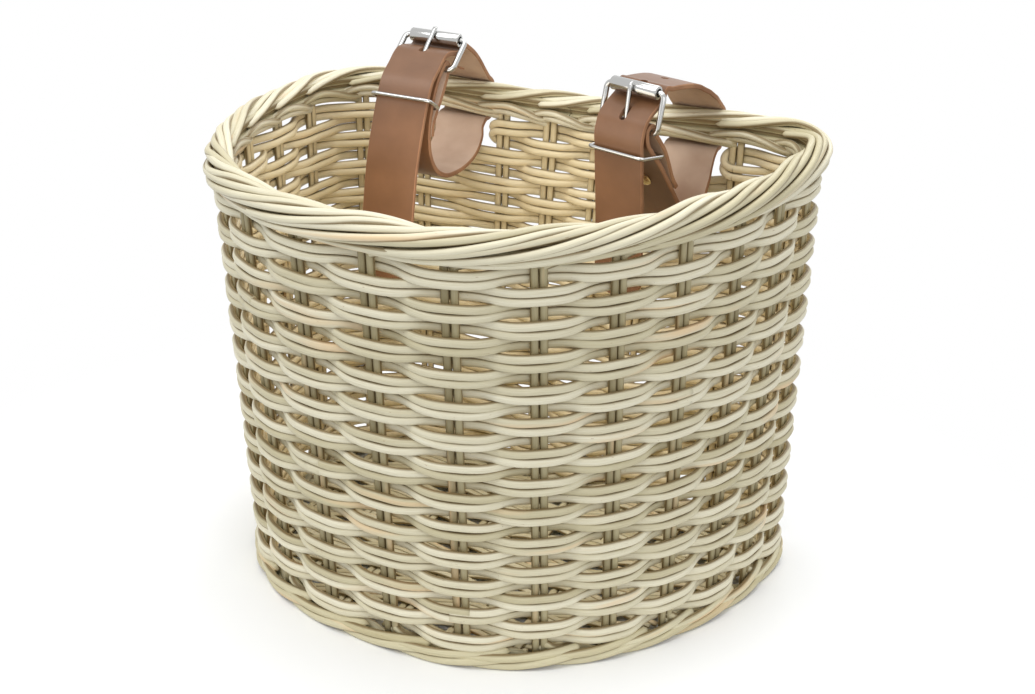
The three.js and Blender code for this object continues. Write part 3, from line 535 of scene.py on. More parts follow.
def cane_material(name, pale, deep, warm_share):
    material, tree, shader = new_material(name)
    place = attribute(tree, "cane_place", "Vector")

    def along_cane(stretch, scale, detail):
        vector = add_node(tree, "VectorMath", {0: place, 1: stretch}, operation="MULTIPLY")["Vector"]
        return noise(tree, vector, scale, detail)

    # tone, from cane to cane and slowly along each
    tone = {0: along_cane((1.6, 0.6, 0.6), 1.0, 3.0), 1: 0.5, 2: attribute(tree, "cane_tone")}
    tone = add_node(tree, "Math", tone, operation="MULTIPLY_ADD")[0]
    tone = add_node(tree, "MapRange", {"Value": tone, "From Min": 0.1, "From Max": 1.15})["Result"]
    between = [(a + b) / 2 for a, b in zip(pale, deep)]
    colour = ramp(tree, tone, [(0.0, srgb(*deep)), (0.35, srgb(*between)), (1.0, srgb(*pale))])
    # fine fibres along the cane
    fibre = along_cane((3.0, 9.0, 9.0), 3.0, 4.0)
    fibres = ramp(tree, fibre, [(0.35, (0.80, 0.76, 0.66, 1)), (0.62, grey(1))])
    colour = mix(tree, 0.7, colour, fibres, "MULTIPLY")
    # warm stretches and small specks
    warm = along_cane((0.9, 0.3, 0.3), 1.3, 2.0)
    warm = ramp(tree, warm, [(warm_share, grey(0)), (warm_share + 0.12, grey(1))])
    colour = mix(tree, warm, colour, srgb(230, 200, 156))
    specks = along_cane((14.0, 3.0, 3.0), 3.0, 2.0)
    specks = ramp(tree, specks, [(0.735, grey(0)), (0.77, grey(0.75))])
    colour = mix(tree, specks, colour, srgb(150, 104, 62))
    # painted warm light on the inward side, standing in for light bounced round within the basket
    painted_bounce_share = add_node(tree, "Math", {0: attribute(tree, "cane_painted_bounce"), 1: 0.65}, operation="MULTIPLY")[0]
    colour = mix(tree, painted_bounce_share, colour, srgb(246, 226, 180))
    # painted shade where it touches the next cane
    painted_groove_shade = ramp(tree, attribute(tree, "cane_painted_shade"), [(0.72, grey(1)), (1.0, srgb(146, 124, 84))])
    colour = mix(tree, 1.0, colour, painted_groove_shade, "MULTIPLY")
    set_inputs(shader, {"Base Color": colour, "Roughness": 0.46, "Specular IOR Level": 0.45,
                        "Normal": bump(tree, fibre, 0.25, 0.0004)})
    return material


def leather_material(name, colour, dark, roughness, grain_scale, bump_height):
    material, tree, shader = new_material(name)
    place = add_node(tree, "TexCoord", {})["Object"]
    tint = ramp(tree, noise(tree, place, 60.0, 4.0), [(0.3, srgb(*dark)), (0.7, srgb(*colour))])
    grain = noise(tree, place, grain_scale, 5.0)
    set_inputs(shader, {"Base Color": tint, "Roughness": roughness, "Normal": bump(tree, grain, 0.5, bump_height)})
    return material


def metal_material(name, colour, roughness):
    material, tree, shader = new_material(name)
    wear = noise(tree, add_node(tree, "TexCoord", {})["Object"], 400.0, 3.0)
    rough = {"Value": wear, "To Min": roughness * 0.7, "To Max": roughness * 1.4}
    set_inputs(shader, {"Base Color": colour, "Metallic": 1.0,
                        "Roughness": add_node(tree, "MapRange", rough)["Result"]})
    return material


CANE = cane_material("cane", (236, 230, 206), (180, 169, 128), 0.62)
UPRIGHT_CANE = cane_material("upright_cane", (192, 182, 146), (140, 128, 94), 0.64)
FOOT_CANE = cane_material("foot_cane", (222, 215, 184), (186, 173, 130), 0.60)
LEATHER = leather_material("leather_outside", (124, 86, 57), (108, 73, 46), 0.40, 900.0, 0.00006)
SUEDE = leather_material("leather_inside", (208, 182, 160), (188, 158, 136), 0.95, 1600.0, 0.00012)
CUT_EDGE = leather_material("leather_edge", (172, 128, 94), (134, 94, 66), 0.85, 1800.0, 0.00025)
STEEL = metal_material("buckle_steel", (0.50, 0.50, 0.49, 1), 0.14)
BRASS = metal_material("brass", (0.70, 0.56, 0.32, 1), 0.25)


# Uprights

UPRIGHT_FOOT = FOOT_BORDER_HEIGHT * 0.4
UPRIGHT_HEAD = RIM_MIDDLE - 2.5
UPRIGHT_STEPS = 26
UPRIGHT_SWAY = 0.08


def build_uprights():
    heights = np.linspace(UPRIGHT_FOOT, UPRIGHT_HEAD, UPRIGHT_STEPS)
    for i, place in enumerate(PLACES):
        canes = Canes(8)
        wall = wall_frames(place, heights)
        for side in (-1, 1):
            sway = UPRIGHT_SWAY * np.sin(heights / 9.0 + rng.random() * 6)
            points = wall.centre + wall.along * (side * (CANE_RADIUS + 0.02) + sway[:, None])
            canes.add(points, CANE_RADIUS * rng.uniform(0.92, 0.98), wall.along, (wall.outward, FLATTENED),
                      tone=rng.uniform(0.1, 0.8), inward=-wall.outward)
        canes.build(f"upright_canes_{i + 1:02d}", UPRIGHT_CANE, f"upright_pair_{i + 1:02d}")


# Weavers

WEAVER_LENGTHS = 5
STRAND_RUNS = (21, 25, 29, 33, 37)  # uprights that a strand passes
SHORTEST_RUN = 8
STRAND_OVERLAP = 0.12
STRAND_SWAY = 0.2
RADIUS_PLAY = 0.02
OFFSET_PLAY = 0.03
SLOT_STRAND_SWAY = 0.12
WRAP_GAP = 0.25
STEPS_PER_UPRIGHT = 14


def weave_offset(step_position):
    """Offset from the wall's middle at a fractional step: even steps pass outside."""
    phase = np.pi * step_position
    return 1.12 * np.cos(phase) - 0.12 * np.cos(3 * phase)


def strand_lift(level, phase):
    """The two strands of a row part in front of an upright and close up where rows cross."""
    return level * (STRAND_SPACING + STRAND_SPREAD * np.abs(np.cos(np.pi * np.asarray(phase))) ** 1.5)


def add_strand(canes, positions, lift, squeeze, radius, tone):
    """One strand of the spiral; lift is its height above the row's middle."""
    row = np.floor(positions / COUNT)
    climb = ease(positions - row * COUNT - (COUNT - 1))
    wall = wall_frames(place_at(positions), row_height(row + climb))
    points = beside_wall(wall, WEAVE_OFFSET * weave_offset(positions) * squeeze, lift)
    canes.add(points, radius, wall.up, (wall.outward, FLATTENED), tone=tone, inward=-wall.outward)


def build_weavers():
    """A strand is a few dozen uprights long, and the next one starts behind an upright."""
    last = SPIRAL_ROWS * COUNT - 1
    start = 0
    for i in range(WEAVER_LENGTHS):
        end = round(last * (i + 1) / WEAVER_LENGTHS)
        if i < WEAVER_LENGTHS - 1 and end % 2 == 0:
            end += 1
        canes = Canes()
        while start < end:
            stop = min(end, start + rng.choice(STRAND_RUNS))
            if end - stop < SHORTEST_RUN:
                stop = end
            for level in (-1, 1):
                positions = np.linspace(max(start - STRAND_OVERLAP, 0), min(stop + STRAND_OVERLAP, last),
                                        (stop - start) * STEPS_PER_UPRIGHT)
                lift = strand_lift(level, positions) + wander(positions, STRAND_SWAY, rng.random())
                radius = WEAVER_RADIUS * (1 + wander(positions * 0.7, RADIUS_PLAY, rng.random()))
                squeeze = 1.0 + OFFSET_PLAY * rng.uniform(-1, 1)
                add_strand(canes, positions, lift, squeeze, radius, rng.betavariate(2.2, 1.6))
            start = stop
        canes.build(f"weaver_canes_{i + 1}", CANE, f"weaver_length_{i + 1}")


def slot_run(first_index, last_index):
    """The two rows beside the straps: along the lower row, round the end upright and back above.
    Rows of distance, height and share of the weave's offset."""
    lower, upper = row_height(SPIRAL_ROWS), row_height(SPIRAL_ROWS + 1)
    low_parity = SPIRAL_ROWS * COUNT
    top_parity = low_parity + COUNT
    reach = UPRIGHT_WIDTH / 2 + CANE_RADIUS + WRAP_GAP

    def along(from_index, to_index, height, parity):
        index = np.linspace(from_index, to_index, abs(to_index - from_index) * STEPS_PER_UPRIGHT)
        return [(place_at(v), height, weave_offset(v + parity)) for v in index]

    def wrap(index, direction, from_height, to_height, parity):
        side = weave_offset(float(index + parity))
        turn = []
        for a in np.linspace(0, math.pi, 13)[1:-1]:
            height = from_height + (to_height - from_height) * (1 - math.cos(a)) / 2
            turn.append((place_at(index) + direction * reach * math.sin(a), height, side * math.cos(a)))
        return turn

    return (along(first_index, last_index, lower, low_parity)
            + wrap(last_index, 1, lower, upper, low_parity)
            + along(last_index, first_index, upper, top_parity)
            + wrap(first_index, -1, upper, lower, top_parity))


def build_slot_weavers():
    for side, first, last in (("front", 0, FRONT_END), ("back", FRONT_END + 1, COUNT - 1)):
        canes = Canes()
        run = slot_run(first, last)
        distance, height, share = np.array(run + run[:1]).T
        wall = wall_frames(distance, height)
        for level in (-1, 1):
            sway = wander(np.arange(len(share)) * 0.07, SLOT_STRAND_SWAY, rng.random())
            points = beside_wall(wall, WEAVE_OFFSET * share, level * (STRAND_SPACING + 0.2) + sway)
            canes.add(points, WEAVER_RADIUS * 0.97, wall.up, (wall.outward, FLATTENED),
                      tone=rng.uniform(0.45, 0.95), inward=-wall.outward, capped=False)
        canes.build(f"slot_canes_{side}", CANE, f"slot_weaver_{side}")


# Borders

BORDER_STEPS = 16
SETTLED_AFTER = 0.6
PAIR_CLOSED = 0.7
PAIR_OPENS = 0.36
PAIR_TAPER = 0.8


def border_canes(canes, middle, path, spacing, radius, flat, play, tones):
    """One pair of canes from each upright, drawn round the border along path: rows of uprights
    passed, outward and upward. play is how far a pair strays outward or along."""
    passed, outward_keys, upward_keys = np.array(path).T
    t = np.linspace(passed[0], passed[-1], int((passed[-1] - passed[0]) * BORDER_STEPS))
    across = smooth_through(passed, outward_keys, t)
    rise = smooth_through(passed, upward_keys, t)
    # a pair leaves its upright side by side along the wall, and starts and ends in a point
    settled = np.clip(t / SETTLED_AFTER, 0, 1)
    open_up = PAIR_CLOSED + PAIR_OPENS * np.sin(np.pi * np.linspace(0, 1, len(t))) ** 0.8
    for k in range(COUNT):
        position = k - t + rng.uniform(-0.05, 0.05) * settled
        wall = wall_frames(place_at(position), middle)
        swell = 1 + wander(t * 0.8, play / 4, rng.random())
        base = beside_wall(wall, across * swell, rise * swell)
        tangent = unit(np.gradient(base, axis=0))
        radial = wall.outward * (across * settled + settled - 1)[:, None] + wall.up * (rise * 0.9 * settled)[:, None]
        radial = unit(radial - tangent * np.sum(radial * tangent, axis=1, keepdims=True))
        side = np.cross(tangent, radial)
        for which in (-1, 1):
            wobble = wander(t, play, rng.random())
            points = base + side * (which * spacing * open_up + wobble)[:, None] + radial * rng.uniform(-play, play)
            size = radius * rng.uniform(0.95, 1.03)
            canes.add(points, size, side, (radial, flat), tone=tones(), taper=PAIR_TAPER)


# From the upright a pair goes inward and up behind the next, then round the rim's section: rows of
# uprights passed, turn from straight outward in degrees, and share of the section's half size. It
# starts under the pairs before it, lies over them on the outside and top, and ends under the next.
RIM_HALF_ACROSS = 5.15
RIM_HALF_RISE = 6.0
RIM_START = [(0, -0.4, -6.4), (0.25, -2.2, -5.4), (0.55, -3.9, -3.4), (0.9, -4, -2), (1.2, -2.2, -2.6)]
RIM_ROUND = [(1.5, -68, 0.72), (1.95, -52, 0.82), (2.45, -35, 0.93), (3, -15, 1.02), (3.55, 7, 1.07),
             (4.1, 31, 1.1), (4.6, 56, 1.15), (5, 80, 1.17), (5.35, 101, 1.08), (5.7, 118, 0.92),
             (6, 128, 0.76), (6.25, 134, 0.64)]
RIM_PATH = RIM_START + [(passed, RIM_HALF_ACROSS * size * math.cos(math.radians(turn)),
                         RIM_HALF_RISE * size * math.sin(math.radians(turn))) for passed, turn, size in RIM_ROUND]
# Inner layers, which show between the pairs
RIM_CORE = [(-1.8, -2.2), (1.7, -1.8), (0, 0.8), (-1.7, 3.2), (1.6, 3.3)]
RIM_CORE_RADIUS = 1.9
FOOT_PATH = [
    (-0.02, 0.0, 6.0), (0.15, -0.6, 2.6), (0.5, -1.6, -0.4), (0.85, 0.6, -1.8), (1.2, 2.8, -0.8),
    (1.7, 4.0, 0.1), (2.2, 3.4, 1.5), (2.6, 1.6, 2.2),
]


def build_borders():
    rim = Canes()
    border_canes(rim, RIM_MIDDLE, RIM_PATH, spacing=1.72, radius=1.68, flat=0.95, play=0.3,
                 tones=lambda: rng.betavariate(1.7, 1.1))
    wall = wall_frames(np.arange(0, PERIMETER, 2.5), RIM_MIDDLE)
    for across, rise in RIM_CORE:
        rim.add(beside_wall(wall, across, rise), RIM_CORE_RADIUS, wall.outward, tone=rng.uniform(0, 0.4),
                capped=False)
    rim.build("rim_canes", CANE, "rolled_rim_border")
    foot = Canes()
    border_canes(foot, FOOT_BORDER_HEIGHT / 2, FOOT_PATH, spacing=1.8, radius=2.0, flat=0.85, play=0.15,
                 tones=lambda: rng.betavariate(2.2, 1.6))
    foot.build("foot_canes", FOOT_CANE, "foot_border")


# Base: flattened canes in pairs over and under the ribs, at the places of the frame's base

RIB_SPACING = 27.0
BASE_ROW_PITCH = 6.9
BASE_STRAND_RADIUS = BASE_ROW_PITCH / 4
BASE_MIDDLE = 4.2
RIB_HALF_HEIGHT = 1.1
STRAND_HALF_HEIGHT = 1.05
BASE_EDGE = 4.7


def base_span(value, axis):
    """Lowest and highest coordinate of the base's outline where the other coordinate is value."""
    wall = wall_frames(np.linspace(0, PERIMETER, 600), 0.0)
    edge = (wall.centre - wall.level * BASE_EDGE)[:, :2]
    hits = []
    for a, b in zip(edge, np.roll(edge, -1, axis=0)):
        p, q = a[1 - axis] - value, b[1 - axis] - value
        if p * q < 0:
            hits.append(a[axis] + (b[axis] - a[axis]) * p / (p - q))
    return (min(hits), max(hits)) if len(hits) > 1 else None


def build_base():
    canes = Canes()
    columns = math.ceil((FOOT_PLAN["left"] + FOOT_PLAN["right"]) / RIB_SPACING) + 1
    rows = math.ceil((FOOT_PLAN["front"] - FOOT_PLAN["back"]) / BASE_ROW_PITCH) + 1
    first_x = (FOOT_PLAN["right"] - FOOT_PLAN["left"]) / 2 - (columns - 1) / 2 * RIB_SPACING
    first_y = -(FOOT_PLAN["front"] + FOOT_PLAN["back"]) / 2 - (rows - 1) / 2 * BASE_ROW_PITCH
    rightward, backward, upward = np.eye(3)
    for column in range(columns):
        for side in (-1, 1):
            x = first_x + column * RIB_SPACING + side * CANE_RADIUS
            span = base_span(x, 1)
            if not span:
                continue
            y = np.linspace(*span, 20)
            points = np.stack([np.full_like(y, x), y, np.full_like(y, BASE_MIDDLE)], axis=1)
            canes.add(points, CANE_RADIUS, rightward, (upward, RIB_HALF_HEIGHT / CANE_RADIUS),
                      tone=rng.uniform(0.1, 0.8))
    for row in range(rows):
        for side in (-1, 1):
            y = first_y + row * BASE_ROW_PITCH + side * BASE_STRAND_RADIUS
            span = base_span(y, 0)
            if not span or span[1] - span[0] < 2 * RIB_SPACING:
                continue
            x = np.linspace(*span, 90)
            sign = 1 if row % 2 == 0 else -1
            swing = (RIB_HALF_HEIGHT + STRAND_HALF_HEIGHT) * np.cos(np.pi * (x - first_x) / RIB_SPACING)
            points = np.stack([x, np.full_like(x, y), BASE_MIDDLE + sign * swing], axis=1)
            canes.add(points, BASE_STRAND_RADIUS, backward, (upward, STRAND_HALF_HEIGHT / BASE_STRAND_RADIUS),
                      tone=rng.betavariate(2, 1.6))
    canes.build("base_canes", FOOT_CANE, "woven_base")


# Straps

STEPS_PER_KEY = 14
CUT_END_STEPS = 60
TIP_LENGTH = 9.0
TIP_NARROWING = 0.9
# From this depth backward the strap rises with the rim, in full after the fade
RISE_DEPTH = 12.0
RISE_FADE = 16.0
SECTION = (-1.0, -0.97, -0.6, -0.2, 0.2, 0.6, 0.97, 1.0)  # across the strap, as shares of half its width
ROUNDED_EDGE = 0.62
# Through the buckle: distances from the heel bar towards the roller and towards the front
PRONG_HOLE = (BUCKLE_LENGTH * 0.42, OVER_HEEL * 0.45)
THREADED = [
    (BUCKLE_LENGTH + 1.8, -AT_ROLLER), (BUCKLE_LENGTH * 0.82, -AT_ROLLER * 0.8),
    (BUCKLE_LENGTH * 0.62, -AT_ROLLER * 0.2), PRONG_HOLE, (BUCKLE_LENGTH * 0.21, OVER_HEEL * 0.88),
    (0, OVER_HEEL), (-4.5, OVER_HEEL * 0.99),
]
CUT_SHARP_ANGLE = 38
ARC_HOLES = 3
HOLE_RADIUS = 1.8
HOLE_SPACING = 15.0
HOLE_DEPTH = 8.0
# Box round the heel bar: across, towards the roller and towards the front
FOLD_SLOT = ((-1.75, 1.75), (-7.0, 4.6), (-4.2, 4.2))
BOX_FACES = [(0, 1, 3, 2), (4, 6, 7, 5), (0, 4, 5, 1), (2, 3, 7, 6), (0, 2, 6, 4), (1, 5, 7, 3)]

# The wires are drawn finer than the solids, as in the photograph
BUCKLE_SIDE_CLEARANCE = 0.8
BUCKLE_CORNER = 2.5
FRAME_WIRE_RADIUS = 1.25
KEEPER_THICKNESS = 2.0
KEEPER_CORNER = 2.4
KEEPER_WIRE_RADIUS = 0.85
ROLLER_BORE = WIRE / 2 + 0.35
ROLLER_EDGE = 0.5

PRONG_HALF_WIDTH = 0.95
PRONG_HALF_THICKNESS = 0.9
PRONG_TIP_SHARE = 0.65
PRONG_ROOM = 0.8
PRONG_LIFTS = (0, 5, 10, 15, 20)
PRONG_EYE = WIRE / 2 + CLEARANCE + PRONG_HALF_THICKNESS
PRONG_OVER = ROLLER / 2 + CLEARANCE + PRONG_HALF_THICKNESS
PRONG_PATH = [(0, PRONG_EYE * math.cos(a), PRONG_EYE * math.sin(a)) for a in np.radians(np.linspace(340, 90, 18))]
PRONG_PATH += [(0, BUCKLE_LENGTH * s, PRONG_EYE + (PRONG_OVER - PRONG_EYE) * s) for s in (0.2, 0.45, 0.7, 0.9, 1.0)]
PRONG_PATH += [(0, BUCKLE_LENGTH + 1.6, PRONG_OVER - 0.2), (0, BUCKLE_LENGTH + 2.6, PRONG_OVER - 0.8)]
PRONG_PATH = np.array(PRONG_PATH)

# From the middle of the rivet's cap to its shank: depth below its top, and radius
RIVET_CAP = [(0, 0.02), (0.1, 1.2), (0.35, 2.4), (0.75, 3.2), (1.15, 3.5), (1.25, 3.4), (1.3, 1.6)]


def at_buckle(route, along_distance, front_distance):
    heel, along, front = buckle_axes(route)
    return (*(heel + along * along_distance + front * front_distance), 1)


def strap_keys(route):
    turns = [math.radians(a) for a in range(-90, 91, 30)]
    fold = [at_buckle(route, HEEL_RADIUS * math.cos(a), HEEL_RADIUS * math.sin(a)) for a in turns]
    threaded = [at_buckle(route, *key) for key in THREADED]
    return np.array(route["cut_end"] + fold + route["loop"] + THROUGH + route["arc"] + threaded + route["tail"])


def to_space(points, basis, origin):
    return np.asarray(points) @ np.array(basis) + origin


def wire_loop(half_width, length, corner, radius, sides):
    """A rounded rectangle of wire in the xy plane, with its lower bar on the x axis."""
    corners = []
    for x, y, start in ((half_width - corner, length - corner, 0), (-half_width + corner, length - corner, 90),
                        (-half_width + corner, corner, 180), (half_width - corner, corner, 270)):
        for i in range(7):
            a = math.radians(start + 90 * i / 6)
            corners.append((x + corner * math.cos(a), y + corner * math.sin(a), 0.0))
    path = []
    for a, b in zip(corners, corners[1:] + corners[:1]):
        steps = max(1, int(math.dist(a, b) / 3))
        for s in range(steps):
            path.append([p + (q - p) * s / steps for p, q in zip(a, b)])
    path = np.array(path)
    tangent = unit(np.roll(path, -1, axis=0) - np.roll(path, 1, axis=0))
    flat = np.tile([0.0, 0.0, 1.0], (len(path), 1))
    return tube(path, radius * np.cross(tangent, flat), radius * flat, sides, looped=True)


def roller_tube():
    """Rolled sheet tube with rounded ends and a bore."""
    half, outer, round_off = ROLLER_LENGTH / 2, ROLLER / 2, 0.3 * ROLLER_EDGE
    end = [(-half, ROLLER_BORE), (-half, outer - ROLLER_EDGE), (-half + round_off, outer - round_off),
           (-half + ROLLER_EDGE, outer)]
    verts, faces = lathe(end + [(-x, radius) for x, radius in reversed(end)], 32, looped=True)
    return verts + [0, BUCKLE_LENGTH, 0], faces


def prong(growth=0.0, lift=0):
    """The prong, grown on all sides and lifted about the heel bar by some degrees."""
    tangent = unit(np.gradient(PRONG_PATH, axis=0))
    size = np.ones((len(PRONG_PATH), 1))
    size[-1] = PRONG_TIP_SHARE
    across = np.array([[1.0, 0.0, 0.0]])
    verts, faces = tube(PRONG_PATH, across * (PRONG_HALF_WIDTH * size + growth),
                        np.cross(across, tangent) * (PRONG_HALF_THICKNESS * size + growth), 16, squareness=0.7)
    c, s = math.cos(math.radians(lift)), math.sin(math.radians(lift))
    return verts @ np.array([[1, 0, 0], [0, c, s], [0, -s, c]]), faces


class Strap:
    """A strap and its buckle. The strap turns with its buckle, and rises with the rim beside it."""

    def __init__(self, name, route, centre_x, twist):
        self.name, self.route, self.x = name, route, centre_x
        self.yaw = math.radians(twist)
        self.forward = np.array([math.sin(self.yaw), -math.cos(self.yaw), 0])
        self.rise = float(corner_rise(centre_x))
        curve = centripetal(strap_keys(route), STEPS_PER_KEY)
        turned = np.clip(curve[:, 2], 0, 1)
        self.centres = np.array([self.place(*key) for key in zip(curve[:, 0], curve[:, 1], turned)])
        self.across = np.array([self.level(share) for share in turned])
        self.outward = unit(np.cross(self.across, unit(np.gradient(self.centres, axis=0))))
        self.length = lengths_along(self.centres)
        heel, along, front = buckle_axes(route)
        self.origin = self.place(*heel)
        self.basis = [self.level(1)] + [self.forward * depth + np.array([0, 0, rise]) for depth, rise in (along, front)]

    def place(self, depth, height, turned=1.0):
        direction = self.forward if depth > 0 else np.array([0.0, -1.0, 0.0])
        height = height + self.rise * ease((RISE_DEPTH - depth) / RISE_FADE)
        return np.array([self.x + SLOT_DRIFT * (1 - turned), -STRAP_INSET, WALL_TOP + height]) + direction * depth

    def level(self, share):
        return np.array([math.cos(self.yaw * share), math.sin(self.yaw * share), 0])

    def leather(self):
        in_tip = np.clip(1 - (self.length[-1] - self.length) / TIP_LENGTH, 0, 1)
        half_width = STRAP_WIDTH / 2 * np.sqrt(1 - TIP_NARROWING * in_tip ** 2)
        # section: grain side, rounded edge, suede side and the other edge
        grain = [(w, -STRAP_THICKNESS / 2 * (ROUNDED_EDGE if abs(w) == 1 else 1)) for w in SECTION]
        section = grain + [(w, -h) for w, h in reversed(grain)]
        verts = [centre + across * half * w + outward * h
                 for centre, across, half, outward in zip(self.centres, self.across, half_width, self.outward)
                 for w, h in section]
        materials = [0 if 0 < j < 6 else 1 if 8 < j < 14 else 2 for j in range(len(section))]
        leather = new_object(f"{self.name}_leather", verts, ring_faces(len(self.centres), len(section)),
                             [LEATHER, SUEDE, CUT_EDGE], materials * (len(self.centres) - 1) + [2, 2])
        self.cut(leather)
        dress(leather, "basket", f"{self.name}_strap")

    def cutter(self, name, shape, basis, origin):
        verts, faces = shape
        return new_object(f"{self.name}_cut_{name}", to_space(verts, basis, origin), faces, [CUT_EDGE])

    def cut(self, leather):
        """Room for the prong as it lifts and as the buckle tilts, the fold's slot and the row of holes."""
        tools = [self.cutter(f"prong_{lift}", prong(PRONG_ROOM, lift), self.basis, self.origin)
                 for lift in PRONG_LIFTS]
        box = [(x, y, z) for x in FOLD_SLOT[0] for y in FOLD_SLOT[1] for z in FOLD_SLOT[2]]
        tools.append(self.cutter("fold", (box, BOX_FACES), self.basis, self.origin))
        hole_point = self.place(*at_buckle(self.route, *PRONG_HOLE)[:2])
        half = len(self.centres) // 2
        start = half + int(np.argmin(np.linalg.norm(self.centres[half:] - hole_point, axis=1)))
        hole = lathe([(-HOLE_DEPTH / 2, HOLE_RADIUS), (HOLE_DEPTH / 2, HOLE_RADIUS)], 24)
        for i in range(1, ARC_HOLES + 1):
            j = int(np.argmin(abs(self.length - (self.length[start] - HOLE_SPACING * i))))
            tools.append(self.cutter(f"hole_{i}", hole, square_to(self.outward[j]), self.centres[j]))
        for tool in tools:
            modifier = leather.modifiers.new(tool.name, "BOOLEAN")
            modifier.operation = "DIFFERENCE"
            modifier.solver = "MANIFOLD"
            modifier.object = tool
        bpy.context.view_layer.update()
        graph = bpy.context.evaluated_depsgraph_get()
        mesh = bpy.data.meshes.new_from_object(leather.evaluated_get(graph))
        leather.modifiers.clear()
        leather.data = mesh
        mesh.shade_smooth()
        mesh.set_sharp_from_angle(angle=math.radians(CUT_SHARP_ANGLE))
        for tool in tools:
            bpy.data.objects.remove(tool)

    def part(self, piece, shape, body, node, basis, origin, slot="buckle_steel", smooth_angle=None):
        verts, faces = shape
        material = BRASS if slot == "brass" else STEEL
        obj = new_object(f"{self.name}_{piece}", to_space(verts, basis, origin), faces, [material])
        if smooth_angle:
            obj.data.set_sharp_from_angle(angle=math.radians(smooth_angle))
        dress(obj, body, f"{self.name}_{node}")

    def buckle(self):
        name, place = self.name, (self.basis, self.origin)
        side = STRAP_WIDTH / 2 + BUCKLE_SIDE_CLEARANCE
        wire = wire_loop(side + WIRE / 2, BUCKLE_LENGTH, BUCKLE_CORNER, FRAME_WIRE_RADIUS, 16)
        self.part("frame_wire", wire, f"{name}_buckle", "buckle_frame", *place)
        self.part("roller_tube", roller_tube(), f"{name}_roller", "roller", *place, smooth_angle=30)
        self.part("prong_wire", prong(), f"{name}_prong", "prong", *place)
        back, front = (self.place(*point) for point in self.route["keeper"])
        upward, across = unit(front - back), self.level(1)
        wire = wire_loop(side + KEEPER_THICKNESS / 2, np.linalg.norm(front - back), KEEPER_CORNER,
                         KEEPER_WIRE_RADIUS, 14)
        self.part("keeper_wire", wire, f"{name}_keeper", "keeper", [across, upward, np.cross(across, upward)], back)

    def rivet(self):
        """Shank with a domed cap at both ends, where the frame has it."""
        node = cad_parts[f"{self.name}_rivet"]
        points = np.array([v.co[:] for v in node.data.vertices]) / MM - SHIFT
        middle = points.mean(axis=0)
        key = self.place(*self.route["cut_end"][1][:2])
        axis = self.outward[int(np.argmin(np.linalg.norm(self.centres[:CUT_END_STEPS] - key, axis=1)))]
        reach = float(np.max(abs((points - middle) @ axis)))
        profile = [(depth - reach, radius) for depth, radius in RIVET_CAP]
        shape = lathe(profile + [(-x, radius) for x, radius in reversed(profile)], 28)
        self.part("rivet_cap", shape, "basket", "rivet", square_to(axis), middle, "brass", 40)


build_uprights()
build_weavers()
build_slot_weavers()
build_borders()
build_base()
for strap in (Strap("left", LEFT, LEFT_STRAP_X, 0.0), Strap("right", RIGHT, RIGHT_STRAP_X, RIGHT_STRAP_TWIST)):
    strap.leather()
    strap.buckle()
    strap.rivet()


# Studio

def floor_material():
    """White near the basket, and fading to nothing further out."""
    material, tree, shader = new_material("floor")
    set_inputs(shader, {"Base Color": (0.97, 0.975, 0.98, 1), "Roughness": 0.8})
    place = add_node(tree, "TexCoord", {})["Object"]
    distance = add_node(tree, "VectorMath", {0: place}, operation="LENGTH")["Value"]
    fade = add_node(tree, "MapRange", {"Value": distance, "From Min": 0.13, "From Max": 0.3},
                    interpolation_type="SMOOTHSTEP")["Result"]
    clear = add_node(tree, "BsdfTransparent", {})[0]
    blend = add_node(tree, "MixShader", {0: fade, 1: shader.outputs[0], 2: clear})[0]
    set_inputs(tree.nodes["Material Output"], {"Surface": blend})
    return material


bpy.ops.mesh.primitive_plane_add(size=2.4, location=(0, 0, -0.0002))
floor = bpy.context.object
floor.name = "floor"
floor.data.materials.append(floor_material())


def area_light(name, location, target, size, power, colour=(1, 1, 1)):
    data = bpy.data.lights.new(name, "AREA")
    data.shape = "DISK"
    data.size = size
    data.energy = power
    data.color = colour
    obj = bpy.data.objects.new(name, data)
    bpy.context.scene.collection.objects.link(obj)
    obj.location = location
    direction = Vector(target) - Vector(location)
    obj.rotation_euler = direction.to_track_quat("-Z", "Y").to_euler()
    return obj


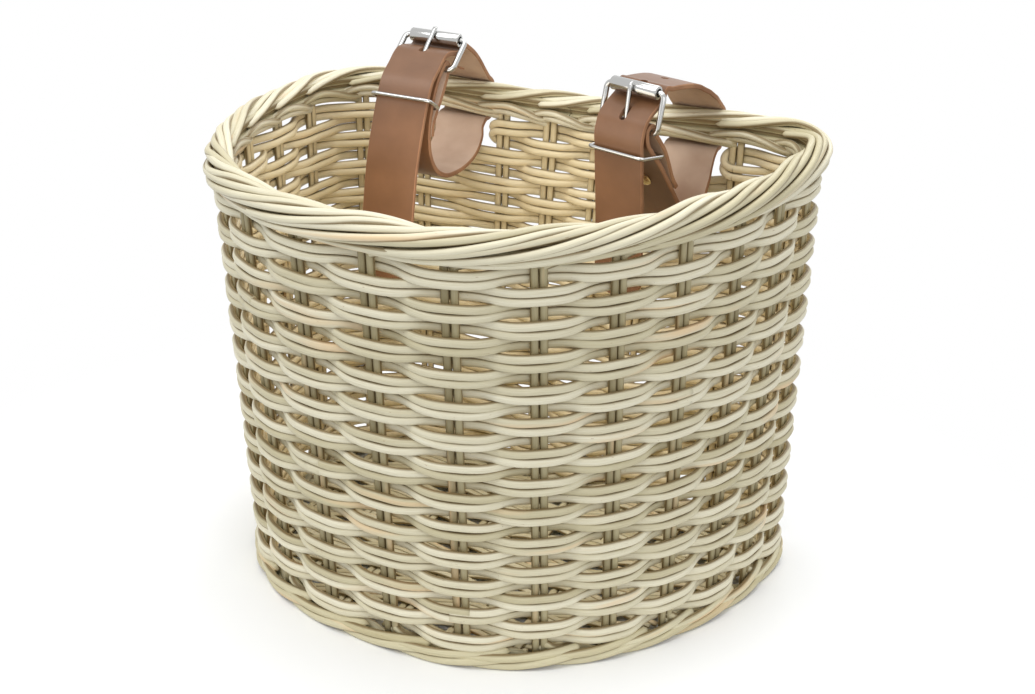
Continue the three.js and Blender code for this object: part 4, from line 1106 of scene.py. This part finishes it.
area_light("key", (-0.55, -0.75, 1.35), (0, 0, 0.1), 0.9, 7.3)
area_light("fill", (0.9, -0.9, 0.7), (0, 0, 0.1), 1.0, 3.5)
area_light("back", (0.1, 1.2, 1.0), (0, 0, 0.15), 1.0, 5.0)
area_light("top", (0, 0.05, 1.5), (0, 0, 0.1), 1.2, 8.0)
area_light("interior", (0, -0.03, 0.17), (0, 0.09, 0.12), 0.12, 0.055, (1, 0.96, 0.9)).visible_camera = False

# The camera and mirrors see plain white, and everything else is lit by a softer light
world = bpy.data.worlds.new("studio")
bpy.context.scene.world = world
world.use_nodes = True
world_tree = world.node_tree
world_tree.nodes.clear()
rays = add_node(world_tree, "LightPath", {})
shown = add_node(world_tree, "Math", {0: rays["Is Camera Ray"], 1: rays["Is Glossy Ray"]}, operation="MAXIMUM")[0]
seen = add_node(world_tree, "Background", {"Color": (1, 1, 1, 1), "Strength": 1.0})[0]
lit = add_node(world_tree, "Background", {"Color": (0.96, 0.98, 1.0, 1), "Strength": 0.66})[0]
add_node(world_tree, "OutputWorld", {"Surface": add_node(world_tree, "MixShader", {0: shown, 1: lit, 2: seen})[0]})

# Camera, fitted to the photograph. It looks along -back, and is moved from the target along its
# own axes.
PHOTO_WIDTH = 1035
SENSOR_WIDTH = 36.0
FOCAL_PIXELS = 1701.74
azimuth, elevation, roll = (math.radians(angle) for angle in (23.1835, 23.6057, 2.3152))
target = Vector((11.928, 0.0, 179.9238))
moved = {"back": 789.6154, "right": -35.8736, "up": -95.4296}

back = Vector((math.sin(azimuth) * math.cos(elevation), -math.cos(azimuth) * math.cos(elevation), math.sin(elevation)))
level_right = Vector((math.cos(azimuth), math.sin(azimuth), 0))
level_up = back.cross(level_right)
right = level_right * math.cos(roll) + level_up * math.sin(roll)
up = -level_right * math.sin(roll) + level_up * math.cos(roll)
centre = target + back * moved["back"] + right * moved["right"] + up * moved["up"]
centre = (centre + Vector(SHIFT.tolist())) * MM
camera_data = bpy.data.cameras.new("camera")
camera_data.sensor_width = SENSOR_WIDTH
camera_data.lens = FOCAL_PIXELS / PHOTO_WIDTH * SENSOR_WIDTH
camera_data.clip_start = 0.05
camera = bpy.data.objects.new("camera", camera_data)
bpy.context.scene.collection.objects.link(camera)
camera.matrix_world = Matrix.Translation(centre) @ Matrix((right, up, back)).transposed().to_4x4()
bpy.context.scene.camera = camera

bpy.context.scene.view_settings.view_transform = "Standard"
